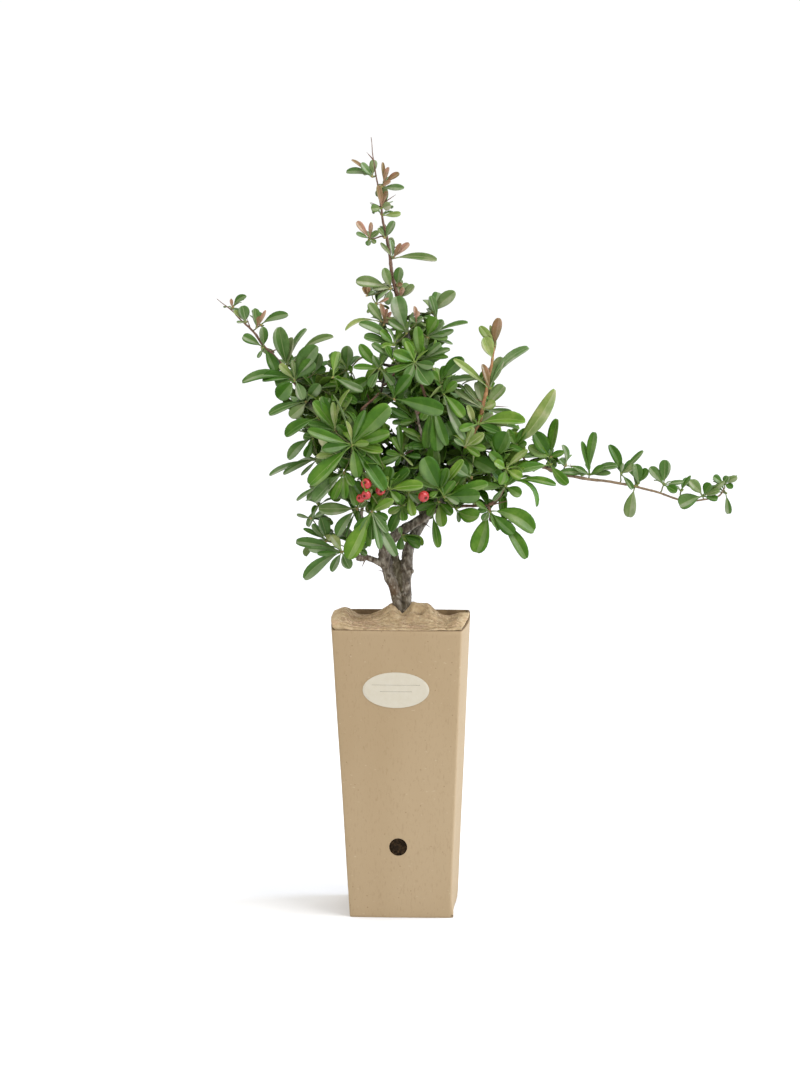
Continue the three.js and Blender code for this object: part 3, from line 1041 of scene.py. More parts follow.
SHOOTS = {
    "leader": ([
        (2.1, 2, 384.9), (-1, 1, 395), (-4.3, 0, 411), (-8.7, 0, 435), (-13.2, 0, 462),
        (-16.2, 0, 480), (-17.8, 0, 490), (-18.9, 0, 502.4)], (1.5, 0.18)),
    "left_shoot": ([
        (-62, 0, 337), (-70.5, 0, 347.5), (-81.5, 0, 361.5), (-88.1, 0, 367.7), (-94.4, 0, 376.8),
        (-103.4, 0, 385.2), (-108.7, 0, 390.6), (-118.2, 0, 398.3)], (1.5, 0.2)),
    "right_shoot": ([
        (43, -16, 305), (45, -18, 311), (51, -21, 322), (57, -25, 349),
        (60.6, -25, 371)], (1.5, 0.8)),
    "long_arm": ([
        (67, 6, 288.5), (84, 2, 292.4), (93, 0, 290.1), (107.3, 0, 285.1), (121.8, 0, 282.5),
        (140.4, 0, 280.2), (154.7, 0, 277.3), (170.5, 0, 273.2), (180.5, 0, 270), (193.4, 0, 269.3),
        (204.9, 0, 272.2), (208.9, 0, 277.9)], (1.2, 0.5)),
    "low_right_bough": ([
        (27, -1.5, 264), (30, -2, 264.5), (40, -11, 266.5), (50.5, -16, 267), (57.6, -18, 268.1),
        (69, -20, 271)], (1.5, 0.2)),
    "hanging_twig": ([(57, -17.8, 267.6), (58.5, -18, 262), (58, -18, 258)], (0.9, 0.7)),
    "low_right_spur": ([(57.6, -18, 268.1), (63, -18, 272.5), (67, -18, 279)], (1.0, 0.8)),
}
BARK = {
    "voxel": 0.54,
    "sample": 1.0,
    "sides": 16,
    "ridge": 0.075,
    "lump": 0.16,
    "crack_width": 0.16,
    "crack_depth": 4.2,
}
GRAIN = {  # how close together each kind of relief lies across and up the wood, and its shift
    "long": (0.75, 0.16, 0),
    "fine": (1.5, 0.8, 9),
    "lump": (0.22, 0.13, 3),
}
KNOTS = [  # stubs and swellings on the trunk and boughs: place, direction and size
    ((6.8, -1.4, 222.0), (1.0, -0.5, 0.35), 1.9),
    ((-6.0, -4.6, 214), (-0.6, -1, 0.3), 1.4),
    ((-1.0, -3.6, 205), (-0.3, -1, 0.2), 1.2),
    ((4.8, -3.6, 215), (0.3, -1, 0.5), 1.2),
    ((-10.5, -5.5, 237), (-1, -0.6, 0.2), 1.1),
    ((-17.5, -6, 231), (0, -0.6, 1), 0.9),
    ((-21.5, -8, 233.2), (0.2, -0.3, 1), 0.8),
    ((5, -4.5, 251.5), (0.1, -1, 0.6), 1.0),
    ((2.6, -3.0, 207), (0.7, -1, 0.1), 1.1),
]
STUBS = {  # where each kind starts and ends along its direction, its sides, and its radii
    "knot": (-1.5, 1.2, 12, (1.2, 1.15, 1.0, 0.8, 0.45)),
    "bud": (-0.2, 1.0, 6, (0.2, 0.3, 0.34, 0.28, 0.16, 0.04)),
    "thorn": (0.0, 1.0, 6, (0.62, 0.5, 0.4, 0.3, 0.2, 0.06)),
}


class Wood:
    """Every grown line of wood, searched for the place where a new twig can leave it."""

    def __init__(self):
        self.places = np.zeros((0, 3))
        self.directions = np.zeros((0, 3))
        self.radii = np.zeros(0)

    def grow(self, points, radii):
        self.places = np.vstack([self.places, points])
        self.directions = np.vstack([self.directions, directions_along(points)])
        self.radii = np.concatenate([self.radii, radii])

    def nearest(self, point):
        gaps = np.linalg.norm(self.places - point, axis=1)
        best = int(gaps.argmin())
        return best, gaps[best]


wood = Wood()


def limb_line(limb, spacing):
    points, radius = limb
    line = smooth_curve(points, spacing)
    steps = np.linalg.norm(np.diff(line, axis=0), axis=1)
    along = np.concatenate([[0], np.cumsum(steps)])
    return line, np.interp(along / along[-1], (0, 1), radius)


def add_stub(heap, kind, foot, direction, size, look):
    """A short tapering spike: a knot, a bud or a thorn."""
    start, end, sides, radii = STUBS[kind]
    line = foot + direction * np.linspace(start, end, len(radii))[:, None] * size
    heap.add_tube(look, line, size * np.array(radii), sides)


def trunk_and_boughs(materials):
    """One mesh melted from the stems and boughs, with bark's relief, and painted shade in its
    hollow.
    """
    heap = Heap()
    samples = []
    reaches = []
    webbed = []
    for name, limb in (*STEMS.items(), *BOUGHS.items()):
        line, radii = limb_line(limb, BARK["sample"])
        heap.add_tube(0, line, radii, BARK["sides"])
        samples.append(line)
        reaches.append(radii)
        webbed.extend([name == "stem_web"] * len(line))
        wood.grow(line, radii)
    for place, towards, size in KNOTS:
        add_stub(heap, "knot", place, unit(towards), size, 0)
    piece = heap.piece("trunk_and_boughs", materials)
    melt = piece.modifiers.new("melt", "REMESH")
    melt.mode = "VOXEL"
    melt.voxel_size = BARK["voxel"] * MM
    apply_modifiers(piece)
    mesh = piece.data
    tree = search_tree(np.vstack(samples))
    relieve_bark(mesh, tree, np.concatenate(reaches))
    mesh.materials.clear()
    for material in materials:
        mesh.materials.append(material)
    # Faces nearest the web between the stems take the darker second bark: painted shade in the
    # groove.
    looks = [int(webbed[tree.find(face.center / MM)[1]]) for face in mesh.polygons]
    mesh.polygons.foreach_set("material_index", looks)
    mesh.polygons.foreach_set("use_smooth", np.ones(len(looks), bool))
    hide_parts("trunk", "left_bough", "right_bough", "low_left_bough")


def search_tree(samples):
    tree = KDTree(len(samples))
    for index, sample in enumerate(samples):
        tree.insert(sample, index)
    tree.balance()
    return tree


def grain(place, kind):
    across, up, shift = GRAIN[kind]
    x, y, z = place
    return noise.noise(Vector((x * across, y * across, z * up + shift)))


def relieve_bark(mesh, tree, radii):
    """Moves each corner in or out: long ridges and cracks where the wood is thick."""
    count = len(mesh.vertices)
    places = np.zeros(count * 3, np.float32)
    normals = np.zeros(count * 3, np.float32)
    mesh.vertices.foreach_get("co", places)
    mesh.vertex_normals.foreach_get("vector", normals)
    places = places.reshape(-1, 3) / MM
    normals = normals.reshape(-1, 3)
    moves = np.zeros(count)
    for index, place in enumerate(places.tolist()):
        _, nearest, _ = tree.find(place)
        long = grain(place, "long")
        crack = -max(0.0, BARK["crack_width"] - abs(long)) * BARK["crack_depth"]
        ridge = BARK["ridge"] * (long + grain(place, "fine") + crack)
        moves[index] = radii[nearest] * (ridge + BARK["lump"] * grain(place, "lump"))
    places += normals * moves[:, None]
    mesh.vertices.foreach_set("co", (places * MM).astype(np.float32).ravel())
    mesh.update()


# ---------- leaves ----------

BLADE_ROWS = np.array([0.0, 0.09, 0.2, 0.34, 0.48, 0.62, 0.75, 0.86, 0.94, 0.985])
BLADE_COLUMNS = 6
LEAF = {
    "stalk_middle": 0.55,  # where the stalk's second row lies along it
    "stalk_half": 0.42,
    "stalk_thickness": 0.8,
    "thickness": 0.26,
    "thinner_edge": 0.35,
    "rib_rise": 0.16,
    "above": 0.35,  # the share of its thickness that lies above its skin line
    "rib_half": 0.3,
    "rib_taper": (1.3, 0.8),  # the rib's width at the foot, and how much of it goes by the tip
    "widest_rib": 0.34,
    "inner_column": 0.58,  # where the lines between midrib and edge run
    "waves": 9,
}
# The painted sheen is a paler, greyer, bluer colour on a leaf's upward-facing half, standing in for
# the bright sky's reflection.
BLADE, PAINTED_SHEEN, RIB, UNDER = range(4)  # a leaf's looks
# The bands of a leaf's upward-facing half that take the painted sheen, from its edge inward, leaf
# after leaf.
PAINTED_SHEEN_BANDS = [(0, 1), (1,), (0, 1), (0,)]


def leaf_topology():
    """A leaf's faces, and their looks for each way the painted sheen can fall on its left or its
    right half.
    """
    rows, columns = len(BLADE_ROWS) + 2, BLADE_COLUMNS
    index = np.arange(rows * columns).reshape(rows, columns)
    over = np.stack([index[:-1, :-1], index[:-1, 1:], index[1:, 1:], index[1:, :-1]], -1)
    under = over[..., ::-1] + rows * columns
    below = np.full(over.shape[:2], UNDER)
    below[:2, :] = RIB
    edge = outline(index)
    after = np.roll(edge, -1)
    sides = np.stack([edge, edge + rows * columns, after + rows * columns, after], -1)
    faces = np.concatenate([over.reshape(-1, 4), under.reshape(-1, 4), sides])
    rest = np.concatenate([below.ravel(), np.full(len(sides), RIB)])
    looks = []
    for bands in PAINTED_SHEEN_BANDS:
        upper = np.full(over.shape[:2], BLADE)
        upper[:, bands] = PAINTED_SHEEN
        upper[:, columns // 2 - 1] = RIB
        upper[:2, :] = RIB
        looks.append([np.concatenate([way.ravel(), rest]) for way in (upper, upper[:, ::-1])])
    return faces, looks


LEAF_FACES, LEAF_LOOKS = leaf_topology()


def leaf_columns(t, half):
    """Where a leaf's lengthwise lines run, from -1 at its left edge to 1 at its right."""
    at_foot, lost = LEAF["rib_taper"]
    rib = np.minimum(LEAF["rib_half"] * (at_foot - lost * t) / half, LEAF["widest_rib"])[:, None]
    edge = np.ones((len(t), 1))
    inner = edge * LEAF["inner_column"]
    return np.hstack([-edge, -inner, -rib, rib, inner, edge])


def leaf_corners(base, tip, width, facing, form):
    """The corners of one closed leaf from its foot to its tip.

    form: arch and sway (how far the midrib bows upward and sideways, as shares of length),
    fold (degrees that the halves rise from the midrib), curl, twist (degrees), stalk (share
    of length), taper and blunt (how the foot and the tip narrow), ripple and its phase.
    """
    axis = tip - base
    length = np.linalg.norm(axis)
    ahead = axis / length
    face = unit(facing - ahead * (facing @ ahead))
    side = np.cross(ahead, face)
    stalk = form["stalk"]
    t = np.concatenate([[0, stalk * LEAF["stalk_middle"]], stalk + (1 - stalk) * BLADE_ROWS])
    rise = form["arch"] * length * 4 * t * (1 - t)
    sway = form["sway"] * length * 4 * t * (1 - t)
    middle = base + ahead * (length * t)[:, None] + face * rise[:, None] + side * sway[:, None]
    slope = form["arch"] * 4 * (1 - 2 * t)
    along = ahead + face * slope[:, None]
    along /= np.linalg.norm(along, axis=1)[:, None]
    turn = np.radians(form["twist"]) * t
    across = side * np.cos(turn)[:, None] + np.cross(along, side) * np.sin(turn)[:, None]
    upward = np.cross(across, along)
    power, blunt = form["taper"], form["blunt"]
    peak = power / (power + blunt)
    shape = BLADE_ROWS**power * (1 - BLADE_ROWS) ** blunt / (peak**power * (1 - peak) ** blunt)
    stalk_half = LEAF["stalk_half"]
    half = np.concatenate([[stalk_half] * 2, np.maximum(width / 2 * shape, stalk_half)])
    columns = leaf_columns(t, half)
    fold = math.radians(form["fold"])
    wave = form["ripple"] * np.sin(t * LEAF["waves"] + form["phase"])[:, None]
    up = np.abs(columns) * math.sin(fold) - form["curl"] * columns**2
    up = up + wave * columns * np.abs(columns)
    out = across[:, None, :] * (half[:, None] * columns * math.cos(fold))[..., None]
    lift = upward[:, None, :] * (half[:, None] * up)[..., None]
    skin = middle[:, None, :] + out + lift
    thick = LEAF["thickness"] * (1 - LEAF["thinner_edge"] * np.abs(columns))
    thick[:2] = LEAF["stalk_thickness"]
    thick[:, 2:4] += LEAF["rib_rise"]
    top = skin + upward[:, None, :] * (thick * LEAF["above"])[..., None]
    bottom = skin - upward[:, None, :] * (thick * (1 - LEAF["above"]))[..., None]
    return np.concatenate([top.reshape(-1, 3), bottom.reshape(-1, 3)])


TINTS = {
    # upper side, its bands of painted sheen, midrib and stalk, under side
    "deep": ((64, 108, 20), (84, 122, 42), (98, 134, 54), (84, 116, 36)),
    "mid": ((82, 127, 28), (104, 139, 56), (120, 150, 70), (100, 134, 44)),
    "fresh": ((106, 144, 42), (126, 155, 70), (146, 170, 86), (124, 154, 60)),
    "lime": ((140, 160, 82), (162, 178, 114), (176, 188, 122), (152, 170, 100)),
    # grey: whole leaves tinted blue-grey, painted sheen of the bright surround on glossy leaves
    "grey": ((98, 130, 70), (132, 152, 108), (148, 168, 116), (122, 144, 88)),
    "outer": ((114, 138, 78), (143, 157, 111), (152, 164, 110), (134, 148, 94)),
    "outer_deep": ((84, 120, 52), (118, 142, 90), (132, 152, 92), (112, 134, 76)),
    "bronze": ((136, 108, 70), (154, 130, 92), (156, 128, 90), (140, 118, 86)),
    "salmon": ((166, 130, 98), (184, 154, 122), (180, 148, 116), (166, 136, 104)),
}
# The leaves of the long shoots and of the crown's rim are paler and greyer than those inside
# it. Each row: how its sprays' names start, and what its tints become.
OUTER_TINTS = [
    (
        ("leader", "upper_left_twig", "upper_right_twig", "upper_right_light", "shoot_crown",
         "shoot_middle", "shoot_low", "shoot_level"),
        {"mid": "outer", "deep": "outer_deep", "fresh": "grey"},
    ),
    (("upper_", "crown_left"), {"mid": "outer_deep", "deep": "mid"}),
    (
        ("arm_", "shoot_", "wing_", "shoulder_whorl", "shoulder_back", "lowest_", "left_low",
         "left_edge"),
        {"mid": "outer_deep", "fresh": "outer"},
    ),
]
THIN_SPRAYS = ("leader", "arm_", "shoot_")  # how the names of the long shoots' sprays start
YOUNG_TINTS = ("bronze", "salmon")

leaf_heaps = {tint: Heap() for tint in TINTS}


def tint_on(spray, tint):
    """The tint that a leaf takes on a spray of this name."""
    for names, tints in OUTER_TINTS:
        if spray.startswith(names):
            return tints.get(tint, tint)
    return tint


def keep_leaf(corners, tint):
    """Puts a leaf with its tint's others; the half that faces up more takes the painted sheen."""
    rows = corners[: len(corners) // 2].reshape(-1, BLADE_COLUMNS, 3)
    middle = len(rows) // 2
    left, rib_left, rib_right, right = rows[middle, [0, 2, 3, 5]]
    along = rows[middle + 1, 2] - rib_left
    rises = [unit(np.cross(across, along))[2] for across in (rib_left - left, right - rib_right)]
    heap = leaf_heaps[tint]
    left_way, right_way = LEAF_LOOKS[len(heap.corners) % len(LEAF_LOOKS)]
    heap.add(corners, LEAF_FACES, left_way if rises[0] > rises[1] else right_way)


def add_leaf(base, tip, width, facing, tint, form):
    corners = leaf_corners(base, tip, width, facing, form)
    keep_leaf(corners, tint)
    return corners


LEAF_FORM = {  # how much one leaf differs from another; leaf_corners says what each means
    "arch": (0.03, 0.12),
    "sway": (-0.03, 0.03),
    "fold": (16, 38),
    "curl": (0.0, 0.18),
    "twist": (-26, 26),
    "stalk": (0.1, 0.17),
    "taper": (0.8, 1.1),
    "blunt": (0.42, 0.6),
    "ripple": (0.0, 0.08),
    "phase": (0, 6),
}


def leaf_form(draw, **changes):
    form = {name: draw.uniform(*span) for name, span in LEAF_FORM.items()}
    form.update(changes)
    return form


# ---------- sprays that show singly ----------

# Each spray: its hub in the frame's pixels and its depth y in mm. Each of its leaves: the
# tip's pixel, the width in pixels, the tint, how far the tip comes forward in mm, and for
# some how much the leaf bulges upward, as a share of its length.
SPRAYS = {
    "leader_tip": ((372.5, 177), 0, [
        (346, 172, 7, "fresh", 2, 0.1), (351, 160, 4, "salmon", 3), (374, 160, 8, "mid", -4),
        (361, 163, 8, "grey", 3)]),
    "leader_second": ((384, 184), -1, [
        (382.5, 162, 4, "bronze", 3), (389, 167, 5, "salmon", 4), (399.5, 173, 6, "bronze", 2)]),
    "leader_side": ((381, 187.5), -1, [(404.5, 188, 7, "fresh", 3), (391, 181, 5, "salmon", 3)]),
    "leader_buds": ((381.6, 208), -1, [
        (378, 185, 6, "salmon", 4), (387, 191, 5, "bronze", -3), (371, 209, 9, "mid", 3),
        (391, 205, 9, "mid", 3)]),
    "leader_third": ((382, 215.5), 0, [(401, 213.5, 6, "lime", 2)]),
    "leader_left_whorl": ((370, 239), -2, [
        (356.5, 221.5, 7, "salmon", 3), (371, 222, 4.5, "salmon", 5), (356, 233, 5, "fresh", 4),
        (379, 231, 6, "mid", 6), (368, 246, 6, "grey", 3), (376, 243, 5, "mid", 4)]),
    "leader_right_whorl": ((385.5, 238), -1, [
        (394.5, 221, 8, "fresh", 3), (378, 228, 5, "mid", 3)]),
    "leader_low_whorl": ((393, 258.5), -1, [
        (390, 239.5, 4.5, "grey", 2), (380.5, 242.5, 4.5, "mid", 3), (409.5, 243, 6.5, "salmon", 4),
        (437.5, 260, 8, "mid", 6, 0.06), (401, 243, 5, "bronze", 4)]),
    "leader_fourth": ((391, 288.5), -2, [
        (383.5, 268, 10, "mid", 5), (355.5, 281, 12, "mid", 6, 0.04), (388, 305, 10, "fresh", 6),
        (377.5, 299, 4, "grey", 5), (372, 289, 5, "mid", 4)]),
    "leader_fourth_right": ((397.5, 286), -1, [
        (400, 267, 10, "deep", 3), (402.5, 283.5, 5, "salmon", 4)]),
    "leader_lower": ((400.5, 298), -2, [(414.5, 285.5, 9, "mid", 3), (403, 287, 5, "salmon", 3)]),
    "leader_twig_tip": ((367.5, 295.5), -6, [
        (362, 287.5, 6, "bronze", 3), (368, 287, 5, "bronze", 3), (374.5, 291, 4, "grey", 3)]),
    "leader_twig_spur": ((376, 304), -7, [(389, 298, 3, "salmon", 3), (367, 313, 4, "mid", 2)]),
    "leader_orange_tips": ((384, 324), -10, [
        (380, 303, 5, "salmon", 3), (387.5, 308.5, 5, "bronze", 3), (391.5, 312, 4, "salmon", 3),
        (391, 318, 6, "salmon", 2)]),
    "leader_foot": ((407, 333), -10, [
        (396, 296, 17, "grey", 3), (388, 320.5, 9, "deep", 4), (386, 318, 3, "lime", 4, 0.14),
        (413, 312, 4, "fresh", 2)]),
    "leader_foot_right": ((416, 323), -12, [
        (414, 306, 5, "salmon", 3), (418.5, 311, 4, "salmon", 3), (423, 317, 6, "fresh", 3),
        (410, 318, 6, "fresh", 3)]),
    "upper_left_twig": ((381.5, 322), -12, [
        (368.5, 303, 10, "mid", 3), (345, 331, 6, "lime", 5, 0.17)]),
    "upper_left_inner": ((394, 345), -14, [
        (358.5, 323, 10, "mid", 5, 0.1), (380, 330.5, 9, "deep", 6),
        (385.5, 328, 3, "grey", 6, 0.15), (363.5, 337, 10, "mid", 6), (381, 347, 6, "fresh", 7)]),
    "upper_right_twig": ((432, 313), -6, [
        (455.5, 291.5, 13, "mid", 4, 0.02), (429.5, 300, 5, "deep", 2)]),
    "upper_right_light": ((437, 320), -8, [
        (430.5, 295.5, 8, "fresh", 4), (424, 317, 5, "deep", 3)]),
    "upper_right_second": ((427, 337), -12, [
        (437, 318, 15, "deep", 5), (443.5, 320, 10, "mid", 4), (468.5, 323, 6, "mid", 5, 0.03),
        (454, 330, 7, "mid", 4), (448, 338, 8, "deep", 5), (453, 344.5, 3.5, "grey", 3)]),
    "upper_right_third": ((421, 361), -14, [
        (450.5, 349, 6.5, "mid", 5, 0.05), (448.5, 357, 6, "deep", 6, 0.07),
        (417, 326, 11, "deep", 4), (441, 343, 7, "mid", 5)]),
    "upper_middle_whorl": ((414.5, 363), -24, [
        (430, 385, 18, "mid", 10), (433.5, 366, 10, "mid", 7), (393, 352, 13, "deep", 6),
        (405, 341, 8, "fresh", 4), (404, 382, 11, "mid", 9), (404, 338, 9, "deep", 1),
        (386, 371, 7, "deep", 6)]),
    "crown_left_twig": ((347, 370), -8, [
        (348, 345.5, 13, "mid", 5), (335, 352.5, 9, "fresh", 4, 0.12), (329, 354, 8, "mid", 3),
        (353, 367.5, 7, "deep", 5), (346.5, 381, 7, "mid", 3), (327, 362, 9, "mid", 4)]),
    "crown_left_inner": ((380, 369), -20, [
        (359.5, 344, 11, "deep", 5), (373, 355, 6, "mid", 7), (370, 388, 10, "mid", 6),
        (353, 367.5, 7, "deep", 6), (394, 385, 9, "mid", 6)]),
    "upper_middle_left": ((393, 360), -18, [(371.5, 343.5, 8, "mid", 4), (386, 346, 7, "deep", 3)]),
    "crown_grey_leaf": ((333, 377), -26, [(363.5, 391, 9, "grey", 6)]),
    "crown_wide_leaf": ((393.5, 399), -30, [(444, 411, 17, "deep", 8), (411, 375, 13, "deep", 6)]),
    "crown_hanging": ((433, 402), -24, [
        (437, 452, 15, "deep", 6), (426.5, 449, 11, "deep", 4), (447, 446, 11, "deep", 5),
        (421, 420, 9, "mid", 6)]),
    "crown_right_leaves": ((443, 394), -26, [
        (464, 417, 12, "mid", 7), (465, 440, 9, "grey", 7), (457, 382, 9, "mid", 6)]),
    "shoot_tip_left": ((232.5, 308), 0, [
        (246.5, 295.5, 7, "mid", 2, 0.12), (231, 298.5, 3.5, "salmon", 2)]),
    "shoot_second": ((246, 322.5), 0, [
        (242.5, 305.5, 11.5, "grey", 3), (236.5, 322, 3, "grey", 2), (233.5, 311, 5, "lime", 2)]),
    "shoot_third": ((256.5, 328), -1, [
        (254.8, 308, 7, "mid", 2), (266, 310, 4, "salmon", 3), (260.5, 316, 5, "bronze", 2)]),
    "shoot_fourth": ((260, 325.5), -1, [(288.5, 314.3, 9, "mid", 3, 0.09)]),
    "shoot_fifth": ((263.5, 347.5), -1, [
        (242.5, 336, 10, "mid", 3, 0.0), (262.5, 326.5, 10, "mid", 3),
        (275.5, 372, 13, "deep", 5, 0.04), (257.5, 358, 4, "grey", 2)]),
    "shoot_sixth": ((287, 367), -3, [
        (279, 326.5, 16, "mid", 4), (292.5, 337, 10, "fresh", 5),
        (307, 328.5, 5, "grey", 3, 0.06)]),
    "shoot_seventh": ((297, 357), -4, [(334, 336.5, 8, "fresh", 6, 0.11)]),
    "shoulder_whorl": ((295, 380), -8, [
        (317.5, 345.5, 18, "mid", 6, 0.04), (314, 361, 15, "deep", 7),
        (241.5, 382.5, 10, "mid", 6, 0.13), (262, 380, 12, "deep", 4, 0.1),
        (279.5, 364, 8, "lime", 5), (292, 360, 5, "fresh", 6), (278, 399, 17, "deep", 5),
        (303, 400, 11, "grey", 7), (275, 384, 8, "deep", 3)]),
    "shoulder_back": ((314, 374), -4, [(320, 353, 11, "mid", 4), (326, 368, 8, "deep", 4)]),
    "wing_first": ((307, 402), -10, [
        (268.5, 414.5, 9, "mid", 6, 0.06), (290, 417.5, 13, "fresh", 5), (320, 384, 12, "mid", 7)]),
    "wing_second": ((319, 418), -18, [(285, 436.5, 13, "deep", 6, 0.07), (330, 398, 9, "mid", 6)]),
    "wing_third": ((313, 438), -18, [
        (288, 459.5, 11, "mid", 5, 0.08), (305.5, 457.5, 9, "deep", 6), (303, 436, 8, "mid", 4)]),
    "wing_twig": ((317, 459.5), -14, [
        (283, 474.5, 8, "mid", 4, 0.06), (269, 476, 5, "grey", 3, 0.05),
        (301, 475.5, 4, "grey", 2)]),
    "shoulder_front": ((335, 431), -36, [
        (313, 401, 14, "mid", 6), (350, 389.5, 5, "lime", 5), (308, 424, 9, "deep", 5),
        (322, 396, 9, "deep", 4), (333, 402, 6, "lime", 6)]),
    "front_whorl": ((352, 445), -46, [
        (333, 394.5, 5, "grey", 5), (390, 405.5, 19, "mid", 8), (390, 433, 13, "mid", 9),
        (383, 451.5, 9, "fresh", 9), (307, 429.5, 11, "mid", 8), (309, 485, 18, "mid", 7),
        (385, 491, 15, "deep", 6, 0.02), (322, 449, 11, "deep", 7), (365, 410, 9, "deep", 9),
        (346, 421, 5, "lime", 9), (358, 478, 13, "mid", 4), (369, 443, 7, "fresh", 10)]),
    "front_low_whorl": ((344, 472), -44, [
        (313.5, 502, 15, "grey", 6), (333, 500, 11, "mid", 7), (345, 499, 10, "mid", 5),
        (354, 486, 8, "mid", 4), (356, 506, 9, "mid", 1), (362, 496, 8, "deep", 0)]),
    "left_low_grey": ((322, 484), -24, [(296.5, 501, 5, "grey", 3), (307.5, 500, 8, "mid", 3)]),
    "left_low_twig": ((357, 508.5), -36, [
        (318, 508.5, 13, "fresh", 4, -0.02), (337, 536, 12, "mid", 6, 0.05),
        (346.5, 537.5, 4, "deep", 3), (372, 489, 7, "lime", 5), (358, 522, 6, "deep", 2),
        (368, 502, 6, "mid", 3), (359, 480, 9, "deep", 2)]),
    "low_front_whorl": ((371.6, 512), -44, [
        (347.5, 559.5, 19, "fresh", 7), (380, 549.5, 8, "grey", 8), (396.5, 556.5, 11, "grey", 6),
        (388, 533, 8, "grey", 6), (394, 500, 10, "fresh", 5), (355, 531, 8, "deep", 3),
        (363, 531, 8, "mid", 3), (369, 547, 7, "mid", 2), (372, 540, 9, "deep", 3),
        (384, 536, 7, "deep", 2), (388, 519, 8, "deep", 2)]),
    "lowest_inner": ((352, 545), -20, [
        (365, 536, 10, "mid", 3), (362, 552, 8, "deep", 3), (367, 555, 7, "mid", 3),
        (368, 546, 8, "mid", 3)]),
    "lowest_top": ((327, 541), -24, [
        (321, 517.5, 12, "mid", 5), (303, 528.5, 5, "deep", 2), (312, 524, 7, "mid", 4),
        (331, 535, 8, "lime", 3)]),
    "lowest_thin": ((312, 519), -22, [(296.5, 514.5, 4, "grey", 2), (325, 512, 6, "grey", 3)]),
    "lowest_whorl": ((342, 552), -28, [
        (295.5, 541.5, 11, "mid", 3, 0.03), (303.5, 579, 12.5, "mid", 5, 0.08),
        (331.5, 572, 8, "grey", 5), (350, 569, 11, "grey", 7), (308, 549, 8, "grey", 5),
        (317, 553.5, 6, "deep", 6), (331, 535.5, 11, "lime", 7)]),
    "left_edge_leaf": ((318.5, 505), -20, [(308, 527, 7, "grey", 3), (322, 516, 3, "grey", 3)]),
    "fork_left": ((402, 535), -8, [
        (420, 547.5, 9, "deep", 4), (400, 550, 8, "deep", 3), (399.5, 527, 5, "grey", 4),
        (421, 541, 6, "deep", 3)]),
    "fork_right": ((432, 513), -8, [(438.5, 548, 9, "mid", 4)]),
    "curled_leaf": ((389, 490), -42, [
        (423.5, 485.5, 12, "fresh", 6, 0.03), (400, 501, 9, "mid", 4)]),
    "centre_underneath": ((402, 506), -30, [
        (390, 532, 11, "deep", 4), (398, 494, 11, "mid", 6), (388, 513, 8, "fresh", 4),
        (412, 513, 8, "mid", 4), (404, 521, 9, "mid", 4)]),
    "centre_pointed": ((408, 493), -34, [(419, 503.5, 8, "grey", 5), (413, 516, 9, "fresh", 2)]),
    "low_centre_leaves": ((438, 502), -14, [
        (442, 527, 12, "fresh", 4), (428, 516, 8, "mid", 4), (416, 509, 8, "deep", 6),
        (452, 515, 10, "mid", 3)]),
    "centre_wide_leaf": ((440, 490), -34, [
        (424, 457, 20, "deep", 8), (463.5, 459.5, 9, "fresh", 5), (448, 468, 11, "deep", 5),
        (414, 478, 9, "mid", 5), (430, 497, 7, "mid", 4)]),
    "right_round_leaf": ((471, 477.5), -30, [(455, 465, 14, "grey", 5)]),
    "right_centre_pair": ((444, 496.5), -38, [
        (488.5, 484, 12, "mid", 6), (480.5, 495, 15, "deep", 9), (459, 503.5, 7, "grey", 9),
        (455, 481, 9, "mid", 7)]),
    "centre_back_leaves": ((433, 445), -22, [
        (408, 447, 9, "deep", 5), (417, 436.5, 6, "fresh", 4), (404, 432, 9, "deep", 4),
        (402, 428.5, 6, "mid", 5), (411.5, 447, 7, "deep", 6), (433, 425, 9, "deep", 5),
        (424, 427, 9, "mid", 2), (404, 448, 7, "mid", 4)]),
    "centre_left_leaves": ((402, 455), -24, [
        (392, 437, 8, "mid", 4), (421, 457, 6, "deep", 4), (413, 466, 3, "lime", 4),
        (380, 462, 8, "mid", 4), (389, 463.5, 4, "grey", 3), (386, 452, 7, "mid", 4),
        (384.5, 465.5, 6, "deep", 4), (396, 466.5, 5, "deep", 3), (399, 424, 6, "deep", 3)]),
    "centre_window": ((415, 421), -20, [
        (398, 417.5, 6, "deep", 3), (400, 424, 6, "mid", 4), (391, 414, 5, "deep", 3),
        (385, 415.5, 5, "deep", 3), (391, 402, 5, "deep", 3, 0.05), (390, 408.5, 8, "deep", 3),
        (392, 423, 6, "deep", 3), (396, 430, 6, "mid", 3)]),
    "centre_low_left": ((385, 490), -34, [
        (390, 466, 12, "deep", 5), (410, 470, 12, "deep", 4), (400, 480, 9, "mid", 4),
        (372, 503, 9, "fresh", 2), (380, 507, 9, "fresh", 3), (366, 511, 8, "mid", 0)]),
    "low_right_whorl": ((489, 511), -18, [
        (535, 531, 18, "mid", 4, 0.12), (476, 553, 18, "mid", 5, -0.02), (514, 534, 13, "deep", 6),
        (483, 521, 8, "grey", 6), (476, 502, 6, "mid", 4), (477, 511, 6, "deep", 3),
        (500, 530, 8, "mid", 3)]),
    "low_right_hanging": ((503, 524), -18, [(526.5, 559, 13, "mid", 4, 0.04)]),
    "low_right_leaf": ((456, 509), -16, [
        (479.5, 516, 16, "mid", 6, -0.14), (459, 522.5, 4.5, "grey", 3)]),
    "low_right_spray": ((505, 487), -18, [
        (521.5, 495, 11, "mid", 4), (492, 470, 11, "deep", 5), (522, 470, 9, "mid", 4),
        (493, 501, 5, "grey", 2), (479, 486, 9, "mid", 6), (504, 476, 8, "fresh", 6)]),
    "low_right_thin": ((515, 480.5), -16, [(556.5, 485, 8, "mid", 3, 0.06)]),
